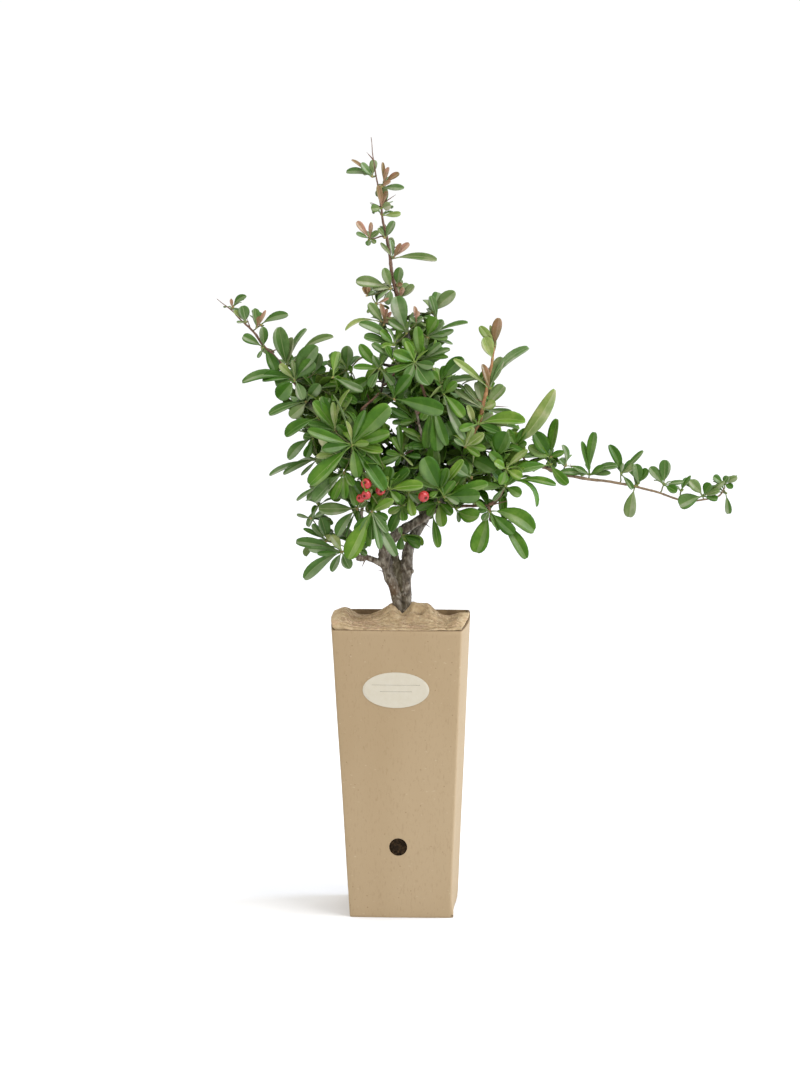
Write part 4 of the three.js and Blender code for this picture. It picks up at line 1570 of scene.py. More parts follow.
    "large_leaf": ((516, 446), -12, [
        (555, 388.5, 15, "lime", 6, -0.05), (508, 429, 8, "mid", 3), (527, 443, 8, "deep", 3),
        (526, 428, 9, "mid", 2)]),
    "right_pair": ((550, 457.5), -2, [
        (557.5, 418.5, 12, "mid", 3), (534, 431.5, 16, "deep", 3), (564.5, 451.5, 7, "mid", 2),
        (528, 446, 12, "fresh", 5), (523.5, 457, 6.5, "grey", 6, 0.08)]),
    "right_edge": ((565, 466), -1, [
        (562.5, 444.5, 6.5, "grey", 2, 0.14), (559, 459, 5, "grey", 2)]),
    "right_bright": ((550, 465), -4, [(515, 471, 12, "mid", 8), (568, 484.5, 11, "mid", 4)]),
    "right_front": ((506, 469), -26, [
        (528, 449.5, 7, "lime", 6), (489, 452, 10, "mid", 6), (500, 485, 10, "mid", 6),
        (522, 478, 10, "fresh", 5), (494, 462, 10, "fresh", 7)]),
    "right_dark": ((496, 457), -28, [(507, 431.5, 20, "deep", 6)]),
    "right_high": ((478, 424), -28, [
        (526, 421.5, 14, "fresh", 5, 0.07), (500, 432, 9, "deep", 5), (459, 430, 9, "mid", 6),
        (508, 424, 7, "lime", 3), (520, 429, 6, "mid", 3)]),
    "right_lime": ((465, 447), -30, [
        (484, 433, 10, "lime", 6), (473, 427, 8, "lime", 3), (454, 439, 5, "grey", 5),
        (486, 449, 8, "fresh", 6), (480, 456, 7, "fresh", 7)]),
    "shoot_crown": ((495, 347), -25, [
        (498.7, 317.5, 10, "bronze", 2), (479.5, 326, 9, "lime", 3), (490, 325, 4, "lime", 1)]),
    "shoot_crown_low": ((493, 360), -25, [(484, 337, 13, "lime", 4)]),
    "shoot_middle": ((489.5, 389), -25, [
        (529, 347, 9, "fresh", -3, 0.11), (502.5, 357, 12, "mid", -4), (482, 364, 8, "bronze", 4),
        (453, 359, 8, "lime", 5)]),
    "shoot_low": ((483, 409), -24, [
        (504.5, 386, 13, "mid", -4), (477, 381.5, 10, "mid", -4), (512, 412, 7, "fresh", 3),
        (496, 403, 10, "lime", 5), (464.5, 384, 6, "mid", -5), (460, 398, 9, "fresh", -4),
        (454.5, 389.5, 6, "mid", -4), (459, 384, 5, "deep", -4)]),
    "shoot_level": ((481, 380), -24, [(447, 382, 8, "fresh", -4, 0.06), (459, 377, 6, "mid", -6)]),
    "shoot_foot": ((474, 428), -22, [
        (493, 414, 9, "fresh", -4), (459, 411, 8, "mid", -4), (467, 405, 7, "lime", 5)]),
    "dark_upper_right": ((440, 383), -22, [
        (463.5, 357.5, 14, "deep", 6, 0.06), (446, 366, 9, "deep", 2), (430, 372, 8, "mid", 5)]),
    "arm_first_whorl": ((589.5, 475), 0, [
        (594.5, 431.5, 9.5, "deep", 3), (581.5, 441, 7, "deep", 3), (618, 465.5, 8, "grey", 5, 0.1),
        (559, 472.5, 8, "mid", 4, 0.05), (604, 466, 7, "deep", 4), (574, 467, 6, "mid", 4),
        (611, 473, 6, "mid", 4)]),
    "arm_second_whorl": ((621, 474), 0, [
        (609, 444.5, 10, "deep", 3, 0.06), (643.5, 450.5, 6, "mid", 3), (635, 465.5, 7, "fresh", 4),
        (623, 463, 4, "grey", 4), (632.5, 489.5, 6.5, "mid", 3)]),
    "arm_third_whorl": ((638, 484), 0, [(635.5, 463.5, 11, "mid", 3), (648, 469, 9, "deep", 3)]),
    "arm_hanging": ((635, 486), 0, [(629, 517.5, 13, "fresh", 3)]),
    "arm_fourth_whorl": ((663.5, 485), 0, [
        (665, 459.5, 12, "mid", 3), (649.5, 467, 10, "mid", 3), (677, 492, 9, "deep", 4),
        (684, 481.5, 5, "grey", 3)]),
    "arm_thin_leaf": ((681, 491), 0, [(691, 475.5, 4, "deep", 2)]),
    "arm_fifth_whorl": ((703, 496), 0, [
        (679, 505.5, 16, "mid", 4), (689.5, 480.5, 11, "fresh", 4), (718, 499, 7, "deep", 3),
        (711, 483.5, 10, "deep", 3), (725, 480.5, 6, "fresh", 1), (720, 490, 7, "fresh", 3)]),
    "arm_tip": ((724, 484), 0, [
        (737.5, 477, 7, "fresh", 2), (713, 476.5, 8, "mid", 2), (733, 488, 7, "deep", 2),
        (728, 476, 7, "mid", 2)]),
    "arm_drooping": ((725.5, 493), 0, [(729, 514, 7, "mid", 2)]),
}
# Leaves that keep their width along most of their length.
STRAP_SPRAYS = ("large_leaf", "low_right_hanging", "right_pair")
LONG_LEAF = {
    "hub": (505, 482),
    "bend": (525.5, 482.5),
    "tip": (536.5, 507.5),
    "hub_depth": -18,
    "depth": -20,
    "width": 7.5,
    "outward": (0.3, -0.3, 0.9),
    "arch": 0.92,  # of the bend's distance from the straight line
    "twist": 20,
    "fold": 20,
}
PIXEL = 0.646  # millimetres for each pixel at the trunk

# Where the crown is dense, its edge in the frame's pixels; the sprays above reach beyond it.
CROWN_EDGE = [
    (262, 352), (272, 350), (277, 330), (290, 336), (296, 350), (303, 346), (316, 344), (321, 354),
    (330, 353), (345, 347), (354, 350), (355, 366), (368, 368), (374, 358), (388, 352), (374, 344),
    (376, 330), (390, 326), (392, 302), (404, 300), (412, 318), (424, 316), (433, 302), (441, 300),
    (441, 318), (452, 328), (447, 338), (449, 349), (436, 360), (434, 366), (442, 370), (450, 359),
    (461, 357), (461, 368), (450, 378), (472, 377), (480, 372), (497, 362), (499, 384), (496, 406),
    (508, 411), (522, 420), (528, 436), (546, 442), (549, 456), (560, 464), (540, 471), (518, 476),
    (512, 484), (518, 493), (504, 494), (488, 491), (481, 498), (482, 512), (474, 521), (460, 519),
    (448, 510), (443, 525), (430, 522), (420, 516), (406, 518), (396, 516), (390, 530), (378, 540),
    (368, 536), (356, 558), (346, 566), (338, 562), (326, 558), (300, 546), (304, 536), (314, 524),
    (320, 516), (352, 512), (320, 506), (312, 500), (312, 482), (308, 470), (320, 464), (296, 464),
    (303, 450), (310, 436), (294, 434), (298, 418), (290, 414), (284, 406), (277, 398), (276, 382),
    (264, 376), (270, 366),
]
# Open sky inside the crown: middle and radius, in the frame's pixels.
SKY_WINDOWS = [
    (393.5, 406.5, 2.5), (399, 408, 1.2), (396.5, 413, 1.5), (389, 421, 2.6), (394.5, 426, 3),
    (396, 432, 1.6), (410.5, 427, 1.6), (417.5, 420, 0.8), (424.5, 420.7, 0.8), (425, 437, 1.6),
    (430, 439, 0.8), (405, 444, 2), (386, 445, 1.8), (399, 453.5, 1), (396, 460, 2),
    (389.5, 464, 1.2), (416, 463.5, 0.6), (477, 475, 1), (484, 479, 1), (391.5, 508.5, 1.6),
    (403.5, 523, 1.2), (397, 527, 2), (317.5, 426.5, 2), (314, 451, 1.2), (348.5, 477, 1.5),
    (325, 498, 1.8), (340, 519, 5), (334, 526, 5), (353, 524, 2), (350, 530, 1), (345, 537, 0.8),
    (339, 546, 1), (372, 546, 4), (377, 554, 2), (399, 543, 4), (401, 552, 3), (421, 543, 3),
    (448, 530, 6), (356.5, 375.5, 2.4), (323.5, 370, 2), (377, 382, 2), (376, 379, 1),
    (388, 373, 1.6), (399, 396.5, 0.8), (404, 347, 1.2), (381.5, 341, 1), (439, 365, 3.5),
    (458, 373, 3), (464, 374.5, 2), (474, 383, 2), (472, 390, 1.2), (461, 384, 0.8), (454, 388, 1),
    (467.5, 399, 1.2), (508, 426.5, 1.4), (513, 427, 1.2), (503, 431, 1.2), (516, 436, 1.4),
    (529, 441, 1.4), (504.5, 470.5, 1.4), (483, 439, 0.8), (488, 452, 1.6), (489, 493, 2.4),
    (484.5, 499, 2.4), (506, 499, 4), (482, 519, 2.4), (534, 453.5, 2), (530, 474, 3),
    (524, 488, 4), (502, 404, 2), (546, 430, 5), (288, 424, 3), (300, 437, 3.5), (300, 457, 3),
    (310, 467, 3), (301, 524, 5), (262, 364, 4), (270, 388, 3), (328, 563, 3), (446, 312, 5),
    (421, 313, 4), (366, 332, 4), (374, 350, 4), (364, 358, 4), (390, 333, 2), (318, 351, 2),
    (456, 352, 4), (408.5, 316, 0.8), (540, 476, 3), (408, 322, 0.8),
]

WINDOWS = np.array(SKY_WINDOWS, float)
EDGE = np.array(CROWN_EDGE, float)
LEVEL = 1e-9  # stands in for the fall of a level edge
NOTHING = 1e3  # a depth behind everything
TOLERANCE = {"window": 0.2, "hidden": 0.15}  # pixels round a window; share of a leaf in front
front_depth = np.full((FRAME["height"], FRAME["width"]), NOTHING)


def keep_clear(corners):
    """Notes how far forward a leaf that shows lies, so that no grown leaf hides it."""
    for (px, py), depth in zip(pixels_of(corners), corners[:, 1]):
        rows = slice(int(py) - 1, int(py) + 2)
        columns = slice(int(px) - 1, int(px) + 2)
        front_depth[rows, columns] = np.minimum(front_depth[rows, columns], depth)


def hides_a_leaf(corners, seen):
    columns = np.clip(seen[:, 0].astype(int), 0, FRAME["width"] - 1)
    rows = np.clip(seen[:, 1].astype(int), 0, FRAME["height"] - 1)
    behind = front_depth[rows, columns]
    return ((behind < NOTHING) & (corners[:, 1] < behind)).mean() > TOLERANCE["hidden"]


def closes_a_window(seen):
    gaps = np.hypot(seen[:, 0, None] - WINDOWS[:, 0], seen[:, 1, None] - WINDOWS[:, 1])
    return (gaps < WINDOWS[:, 2] + TOLERANCE["window"]).any()


def share_outside(seen):
    """The share of some pixels that lies outside the dense crown's edge."""
    x, y = seen[:, 0, None], seen[:, 1, None]
    x1, y1 = EDGE.T
    x2, y2 = np.roll(EDGE, -1, axis=0).T
    spans = (y1 > y) != (y2 > y)
    fall = np.where(y2 == y1, LEVEL, y2 - y1)
    crosses = spans & (x < (x2 - x1) * (y - y1) / fall + x1)
    return (crosses.sum(axis=1) % 2 == 0).mean()


twigs = Heap()
buds = Heap()


TWIG = {
    "pull": 0.35,  # how far its curve holds its first and last directions
    "step": 2.4,
    "fewest_points": 4,
    "sides": 6,
    "relief": 0.35,
    "brown_from": 0.62,  # the radius from which its bark is brown
    "touching": 0.9,  # a hub this near the wood needs no twig
    "leaving": 0.7,  # how far it follows the wood as it leaves
    "arriving": 0.6,  # how far it turns outward as it arrives
    "share": 0.75,  # of the wood's radius, at most
    "thinnest": 0.5,
    "thicker": 0.012,  # for each millimetre of its reach
    "tip": 0.42,
}
BROWN, GREEN = range(2)  # the twigs' looks


def add_twig(start, start_direction, end, end_direction, radius):
    """A curved, tapering twig from the wood to a hub."""
    reach = np.linalg.norm(end - start)
    first = start + start_direction * reach * TWIG["pull"]
    second = end - end_direction * reach * TWIG["pull"]
    t = np.linspace(0, 1, max(TWIG["fewest_points"], int(reach / TWIG["step"])))[:, None]
    line = (
        (1 - t) ** 3 * start + 3 * (1 - t) ** 2 * t * first
        + 3 * (1 - t) * t**2 * second + t**3 * end
    )
    radii = np.interp(t[:, 0], (0, 1), (radius, TWIG["tip"]))
    look = BROWN if radius > TWIG["brown_from"] else GREEN
    skin = {"relief": TWIG["relief"], "seed": float(start[0])}
    twigs.add_tube(look, line, radii, TWIG["sides"], **skin)
    wood.grow(line, radii)
    return line


def reach_hub(hub, outward):
    """Grows a twig from the nearest wood to a hub, and says how it arrives."""
    nearest, gap = wood.nearest(hub)
    if gap < TWIG["touching"]:
        return wood.directions[nearest], None
    start = wood.places[nearest]
    towards = unit(hub - start)
    leaving = unit(wood.directions[nearest] * TWIG["leaving"] + towards)
    arriving = unit(towards + outward * TWIG["arriving"])
    thick = min(wood.radii[nearest] * TWIG["share"], TWIG["thinnest"] + gap * TWIG["thicker"])
    line = add_twig(start, leaving, hub, arriving, thick)
    return arriving, line


BUDS = {"count": 3, "spread": 0.8, "length": (1.2, 2.4), "looks": 2}


def add_buds(hub, direction, draw):
    """A cluster of small scaly buds where leaves spring."""
    spread = BUDS["spread"]
    for _ in range(BUDS["count"]):
        towards = unit(direction + np.array([draw.uniform(-spread, spread) for _ in range(3)]))
        length = draw.uniform(*BUDS["length"])
        add_stub(buds, "bud", hub, towards, length, draw.randrange(BUDS["looks"]))


def rolled_up(ahead, facing, roll):
    """Turns a leaf's face about its length, whichever way brings its upper side higher."""
    facing = unit(facing - ahead * (facing @ ahead))
    ways = [swung(facing, np.cross(ahead, facing), turn) for turn in (roll, -roll)]
    return max(ways, key=lambda way: way[2])


SEEN_LEAF = {  # how the leaves that show singly differ from one another
    "arch": (0.02, 0.07),
    "twist": (-18, 18),
    "strap_taper": 0.6,
    "young_fold": (26, 44),
    "narrowest": 0.2,  # a leaf's least width, as a share of its length
    "roll": (0.05, 0.3),
    "turn": (-0.2, 0.2),
    "off_hub": 0.3,
    "outward": (0.4, 10.0, 14.0),  # how far a hub's twig leans sideways, forward and up
}


def measured_leaf(hub, tip, wide, tint, bulge, draw, strap):
    """A leaf as wide as it shows, rolled about its length where it shows narrow."""
    ahead = unit(tip - hub)
    length = np.linalg.norm(tip - hub)
    arch = draw.uniform(*SEEN_LEAF["arch"])
    form = leaf_form(draw, arch=arch, twist=draw.uniform(*SEEN_LEAF["twist"]))
    if strap:
        form["taper"] = SEEN_LEAF["strap_taper"]
    if tint in YOUNG_TINTS:
        form["fold"] = draw.uniform(*SEEN_LEAF["young_fold"])
    shown = wide * PIXEL / math.cos(math.radians(form["fold"]))
    width = max(shown, SEEN_LEAF["narrowest"] * length)
    roll = math.acos(shown / width) + draw.uniform(*SEEN_LEAF["roll"])
    facing = rolled_up(ahead, X * draw.uniform(*SEEN_LEAF["turn"]) - AHEAD, roll)
    if bulge:
        form["sway"] = math.copysign(bulge, bulge * (np.cross(ahead, facing) @ UP))
    return add_leaf(hub + ahead * SEEN_LEAF["off_hub"], tip, width, facing, tint, form)


def measured_sprays():
    """The sprays that show singly, each leaf from its hub to its own tip."""
    draw = random.Random(21)
    for name, (pixel, depth, leaves) in SPRAYS.items():
        hub = at_pixel(pixel, depth)
        lean_sideways, lean_forward, climb = SEEN_LEAF["outward"]
        outward = unit(np.array([hub[0] * lean_sideways, hub[1] - lean_forward, climb]))
        direction, _ = reach_hub(hub, outward)
        add_buds(hub, direction, draw)
        strap = name in STRAP_SPRAYS
        for x, y, wide, tint, forward, *bulge in leaves:
            tip = at_pixel((x, y), depth - forward)
            tint = tint_on(name, tint)
            keep_clear(measured_leaf(hub, tip, wide, tint, sum(bulge), draw, strap))


BEHIND = {
    "tries": 40,
    "sideways": (-1, 1),
    "upward": (-0.5, 1.1),
    "backward": (0.5, 1.2),
    "length": (10.0, 22.0),
    "width": (0.34, 0.44),  # as a share of the length
    "tilt": 0.3,
    "stray": 7.0,
    "tints": ("mid", "mid", "deep", "fresh"),
    # How many leaves a spray may have behind it, and the share of each that must be hidden
    # from the front, on the crown and on the long shoots.
    "full": {"most": 5, "covered": 0.62},
    "thin": {"most": 3, "covered": 0.93},
}


def leaves_behind(masses):
    """Each spray that shows singly has more leaves behind, on the side away from the front."""
    draw = random.Random(51)
    for name, (pixel, depth, _) in SPRAYS.items():
        hub = at_pixel(pixel, depth)
        rules = BEHIND["thin" if name.startswith(THIN_SPRAYS) else "full"]
        grown = 0
        for _ in range(BEHIND["tries"]):
            sideways = draw.uniform(*BEHIND["sideways"])
            spread = np.array([sideways, 0, draw.uniform(*BEHIND["upward"])])
            ahead = unit(AHEAD * draw.uniform(*BEHIND["backward"]) + spread)
            length = draw.uniform(*BEHIND["length"])
            tip = hub + ahead * length
            if not in_crown(tip, masses, BEHIND["stray"]):
                continue
            facing = unit(ahead * (BEHIND["tilt"], BEHIND["tilt"], 0) + Z)
            width = length * draw.uniform(*BEHIND["width"])
            foot = hub + ahead * SEEN_LEAF["off_hub"]
            corners = leaf_corners(foot, tip, width, facing, leaf_form(draw))
            seen = pixels_of(corners).astype(int)
            covered = front_depth[seen[:, 1], seen[:, 0]] < NOTHING
            if covered.mean() < rules["covered"]:
                continue
            keep_leaf(corners, tint_on(name, draw.choice(BEHIND["tints"])))
            grown += 1
            if grown == rules["most"]:
                break


def long_curved_leaf():
    """One narrow leaf on the lower right bends right round and down."""
    hub = at_pixel(LONG_LEAF["hub"], LONG_LEAF["hub_depth"])
    reach_hub(hub, np.array(LONG_LEAF["outward"]))
    bend = at_pixel(LONG_LEAF["bend"], LONG_LEAF["depth"])
    tip = at_pixel(LONG_LEAF["tip"], LONG_LEAF["depth"])
    rise = bend - (hub + tip) / 2
    arch = np.linalg.norm(rise) * LONG_LEAF["arch"] / np.linalg.norm(tip - hub)
    bent = {"arch": arch, "twist": LONG_LEAF["twist"], "fold": LONG_LEAF["fold"]}
    form = leaf_form(random.Random(4), **bent)
    keep_clear(add_leaf(hub, tip, LONG_LEAF["width"], unit(rise), "mid", form))


# ---------- grown foliage ----------

GOLDEN_ANGLE = math.radians(137.5)
CROWN = {
    "tries": 900,
    "spacing": 10.1,
    "clear_of_measured": 7.0,
    "depth": 5.0,  # how far inside a mass's skin a hub lies
    "stray": 4.5,  # how far a leaf may reach out of its mass
    "over_edge": 0.06,  # the share of a leaf that may show past the dense crown's edge
    "fewest": 3,  # leaves that a hub must bear to grow at all
    "middle": (2.0, 2.0, 22.0),  # x and y of the crown's middle, and how steeply sprays rise
    "from_mass": 0.5,
    "outward": 0.6,
    "leaf": (16.0, 29.0),
    "width": (0.33, 0.44),  # as a share of the length
    "shrink": (1.0, 0.84, 0.7),
    "roll": (-0.5, 0.5),
    "upright": 0.15,  # a leaf nearer than this to its twig's direction faces any way
    "own_tint": 0.78,
    "tints": {"deep": 26, "mid": 44, "fresh": 20, "grey": 7, "lime": 3},
}
NEIGHBOUR_TINT = {"deep": "mid", "mid": "deep", "fresh": "mid", "grey": "mid", "lime": "fresh"}
WHORL = {
    "leaves": (7, 10),
    "hint": (0.2, 0.4, 0.9),
    "phase": (0, 6),  # how far round its axis the first leaf springs, in radians
    "lean": (25, 65),  # degrees from its axis to the first leaf, and from there to the last
    "jitter": (0, 0.8),
    "first": 0.25,  # where the first leaf's length lies between the shortest and the longest
    "length": (0.85, 1.12),
}
SIDE_LEAVES = {
    "least_line": 5,
    "first": 2,
    "every": 3,
    "hint": (0.3, 0.1, 0.9),
    "phase": (0, 6),
    "along": 0.75,
    "around": 0.8,
    "length": 0.85,
}
NUDGE = 1e-3  # added to a gap, which then has a direction even where two places meet
MEASURED_ONLY = {
    "leader_tip_leaves", "leader_upper_leaves", "leader_middle_leaves", "leader_side_leaves",
    "right_shoot_tip", "right_shoot_leaves", "left_shoot_tip", "left_shoot_leaves", "large_leaf",
    "hanging_left_leaf", "hanging_right_leaves", "arm_first_leaves", "arm_second_leaves",
    "arm_hanging_leaf", "arm_third_leaves", "arm_fourth_leaves", "arm_tip_leaves", "fork_leaves",
}
WOOD_NODES = {
    "trunk", "left_bough", "right_bough", "low_left_bough", "leader", "left_shoot", "right_shoot",
    "long_arm", "low_right_bough", "hanging_twig",
}
POT_NODES = {"pot_shell", "root_ball", "label", "mulch_mat"}


class Mass:
    """The space of one foliage solid."""

    def __init__(self, name):
        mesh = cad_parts[name].data
        corners = np.array([v.co for v in mesh.vertices]) / MM
        self.low = corners.min(0)
        self.high = corners.max(0)
        self.middle = (self.low + self.high) / 2
        polygons = [tuple(p.vertices) for p in mesh.polygons]
        self.tree = BVHTree.FromPolygons(corners.tolist(), polygons)

    def depth(self, point):
        """How far a point lies inside, or minus how far outside."""
        at, normal, _, gap = self.tree.find_nearest(Vector(point))
        inside = (Vector(point) - at).dot(normal) < 0
        return gap if inside else -gap

    def near(self, point, margin):
        return bool(np.all(point > self.low - margin) and np.all(point < self.high + margin))


def crown_masses():
    names = [n for n in sorted(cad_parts) if n not in WOOD_NODES | POT_NODES]
    return {name: Mass(name) for name in names}


def in_crown(point, masses, margin):
    return any(m.near(point, margin) and m.depth(point) > -margin for m in masses.values())


def crown_hubs(masses, taken):
    """Hubs spread evenly through the masses, each with its mass."""
    draw = random.Random(31)
    hubs = []
    places = list(taken)
    for name, mass in masses.items():
        if name in MEASURED_ONLY:
            continue
        for _ in range(CROWN["tries"]):
            point = np.array([draw.uniform(a, b) for a, b in zip(mass.low, mass.high)])
            if mass.depth(point) < CROWN["depth"]:
                continue
            gaps = np.linalg.norm(np.array(places) - point, axis=1)
            near_measured = gaps[: len(taken)].min() < CROWN["clear_of_measured"]
            if near_measured or gaps.min() < CROWN["spacing"]:
                continue
            places.append(point)
            hubs.append((point, mass))
    return hubs


def grown_sprays(masses):
    """Sprays on every hub, nearest to the wood first, with twigs to those that bear leaves."""
    draw = random.Random(41)
    taken = [at_pixel(pixel, depth) for pixel, depth, _ in SPRAYS.values()]
    hubs = crown_hubs(masses, taken)
    hubs.sort(key=lambda hub: wood.nearest(hub[0])[1])
    middle_x, middle_y, rise = CROWN["middle"]
    tints = list(CROWN["tints"])
    weights = list(CROWN["tints"].values())
    for hub, mass in hubs:
        outward = unit(np.array([hub[0] - middle_x, hub[1] - middle_y, rise]))
        outward = unit(outward + CROWN["from_mass"] * unit(hub - mass.middle + NUDGE))
        nearest, _ = wood.nearest(hub)
        from_wood = unit(hub - wood.places[nearest] + NUDGE)
        direction = unit(from_wood + outward * CROWN["outward"])
        tint = draw.choices(tints, weights)[0]
        leaves = whorl(hub, direction, tint, draw, masses)
        if len(leaves) < CROWN["fewest"]:
            continue
        direction, line = reach_hub(hub, outward)
        add_buds(hub, direction, draw)
        if line is not None and len(line) > SIDE_LEAVES["least_line"]:
            leaves += side_leaves(line, tint, draw, masses)
        for tint_of_leaf, corners in leaves:
            keep_leaf(corners, tint_of_leaf)


def grown_leaf(foot, ahead, axis, length, draw, masses):
    """A leaf's corners, unless it would stray from the crown, hide a leaf or close a window."""
    for shrink in CROWN["shrink"]:
        tip = foot + ahead * length * shrink
        if in_crown(tip, masses, CROWN["stray"]):
            break
    else:
        return None
    facing = axis - ahead * (axis @ ahead)
    if np.linalg.norm(facing) < CROWN["upright"]:
        facing = np.cross(ahead, (draw.uniform(-1, 1), draw.uniform(-1, 1), 0.5))
    facing = unit(facing)
    facing = swung(facing, np.cross(ahead, facing), draw.uniform(*CROWN["roll"]))
    width = length * shrink * draw.uniform(*CROWN["width"])
    corners = leaf_corners(foot, tip, width, facing, leaf_form(draw))
    seen = pixels_of(corners)
    if closes_a_window(seen) or hides_a_leaf(corners, seen):
        return None
    return None if share_outside(seen) > CROWN["over_edge"] else corners


def shade_of(tint, draw):
    """Mostly the spray's own tint, with a neighbour's now and then."""
    return tint if draw.random() < CROWN["own_tint"] else NEIGHBOUR_TINT[tint]


def whorl(hub, direction, tint, draw, masses):
    """A rosette: leaves spring round the twig's end, the outer ones longer and flatter."""
    count = draw.randint(*WHORL["leaves"])
    side, other = square_axes(direction, WHORL["hint"])
    phase = draw.uniform(*WHORL["phase"])
    upright, spread = WHORL["lean"]
    shortest, longest = CROWN["leaf"]
    leaves = []
    for i in range(count):
        around = swung(side, other, phase + i * GOLDEN_ANGLE)
        lean = math.radians(upright + spread * (i + draw.uniform(*WHORL["jitter"])) / count)
        ahead = unit(swung(direction, around, lean))
        share = WHORL["first"] + (1 - WHORL["first"]) * i / count
        length = (shortest + (longest - shortest) * share) * draw.uniform(*WHORL["length"])
        corners = grown_leaf(hub, ahead, direction, length, draw, masses)
        if corners is not None:
            leaves.append((shade_of(tint, draw), corners))
    return leaves


def side_leaves(line, tint, draw, masses):
    """Leaves one after another round a twig."""
    turn = draw.uniform(*SIDE_LEAVES["phase"])
    leaves = []
    for index in range(SIDE_LEAVES["first"], len(line) - 1, SIDE_LEAVES["every"]):
        along = unit(line[index + 1] - line[index - 1])
        turn += GOLDEN_ANGLE
        around = swung(*square_axes(along, SIDE_LEAVES["hint"]), turn)
        ahead = unit(along * SIDE_LEAVES["along"] + around * SIDE_LEAVES["around"])
        length = draw.uniform(*CROWN["leaf"]) * SIDE_LEAVES["length"]
        corners = grown_leaf(line[index], ahead, along, length, draw, masses)
        if corners is not None:
            leaves.append((shade_of(tint, draw), corners))
    return leaves


# ---------- shoots, thorns and berries ----------

THORN_FORWARD = 1.5  # how far a thorn's tip comes forward of its foot
THORNS = [  # foot and tip in the frame's pixels, and depth
    ((387, 574), (378, 570), -5), ((381.5, 205), (396, 194.5), -1), ((381, 207), (370, 202), -1),
    ((373, 160), (366.5, 152), 0), ((390, 250), (401, 245), 0), ((252, 327), (246.5, 317), 0),
    ((271, 351), (283, 347), 0), ((263, 349), (259, 356), 0), ((500, 410), (508.5, 407), -26),
    ((484, 404), (475, 398), -25), ((575, 475), (570, 463), 0), ((366.5, 559), (362, 567), -9),
    ((424, 518), (431, 528), 8),
]
SEEN_STEMS = [  # the frame's pixels from the foot up, depth and radius
    ([(427, 405), (421, 384), (416, 368)], -22, 1.4),
    ([(386, 384), (395, 373), (404, 365)], -18, 0.9),
    ([(362, 409), (371, 401), (379, 393)], -22, 0.9),
]
SHOOT_BARK = {"right_shoot": 1, "long_arm": 2}  # which bark a shoot wears, where it isn't the first
BERRIES = [  # middle in the frame's pixels, depth and radius
    ((366.3, 483.6), -53, 3.5), ((360.6, 498.2), -48.5, 2.8), ((366.2, 494.8), -52.5, 3.1),
    ((423.7, 496.4), -42, 3.6), ((380.4, 490.4), -44, 3.2),
]
BERRY = {
    "rows": 18,
    "sides": 22,
    "hint": (0.3, 0.2, 0.9),
    "ends": (0.02, 0.96),  # where its rows start and how far they reach, in half turns
    "eye": (0.34, 0.34),  # depth and spread of the hollow at its eye, and at its stalk
    "dimple": (0.16, 0.3),
    "height": 0.92,
    "aslant": (-0.7, 0.7),
    "tilted": (-0.6, 0.5),
    "stalk_foot": 0.75,
    "stalk_radius": 0.36,
    "stalk_step": 1.5,
    "sag": 0.12,
    "clear": (-3, 0, 3),  # where round its middle nothing may hide it
}
CALYX = {
    "lobes": 5,
    "along": (0.55, 0.74, 0.85, 0.9),
    "outward": (0, 0.1, 0.18, 0.28),
    "radii": (0.08, 0.09, 0.07, 0.02),
    "sides": 6,
}
SHOOT = {
    "step": 0.9,
    "sides": 12,
    "relief": 0.22,
    "node_swell": 0.16,
    "node_turn": 0.62,
    "node_power": 6,
    "wander": 0.7,
    "wander_scale": 0.09,
    "wander_shift": 7.0,
    "held_ends": 8,  # points over which the wandering starts and stops
}
STEM = {"step": 1.0, "sides": 10, "relief": 0.2, "taper": 0.6}


def add_shoots():
    """The long shoots stand clear of the melted mesh, each a tapering tube with nodes."""
    heap = Heap()
    shifts = [Vector((axis * SHOOT["wander_shift"], 0, 0)) for axis in range(3)]
    for name, limb in SHOOTS.items():
        line, radii = limb_line(limb, SHOOT["step"])
        along = np.arange(len(line))
        node = np.maximum(0, np.sin(along * SHOOT["node_turn"] + len(name)))
        swell = 1 + SHOOT["node_swell"] * node ** SHOOT["node_power"]
        places = [Vector(point) * SHOOT["wander_scale"] for point in line]
        wander = np.array([[noise.noise(place + shift) for shift in shifts] for place in places])
        ends = np.minimum(1, np.minimum(along, along[::-1]) / SHOOT["held_ends"])[:, None]
        line = line + SHOOT["wander"] * wander * ends
        skin = {"relief": SHOOT["relief"], "seed": len(name)}
        look = SHOOT_BARK.get(name, 0)
        keep_clear(heap.add_tube(look, line, radii * swell, SHOOT["sides"], **skin))
        wood.grow(line, radii)
    return heap


def add_seen_stems(heap):
    """Lengths of stem that show bare between the leaves, each grown from the nearest wood."""
    for pixels, depth, radius in SEEN_STEMS:
        places = [at_pixel(pixel, depth) for pixel in pixels]
        nearest, _ = wood.nearest(places[0])
        line = smooth_curve([wood.places[nearest], *places], STEM["step"])
        radii = np.linspace(radius, STEM["taper"] * radius, len(line))
        keep_clear(heap.add_tube(0, line, radii, STEM["sides"], relief=STEM["relief"]))
        wood.grow(line, radii)


def add_thorns(heap):
    for foot, tip, depth in THORNS:
        nearest, _ = wood.nearest(at_pixel(foot, depth))
        start = wood.places[nearest]
        add_stub(heap, "thorn", start, at_pixel(tip, depth - THORN_FORWARD) - start, 1.0, 0)


def hollow_at(angle, hollow):
    depth, spread = hollow
    return depth * math.exp(-((angle / spread) ** 2))


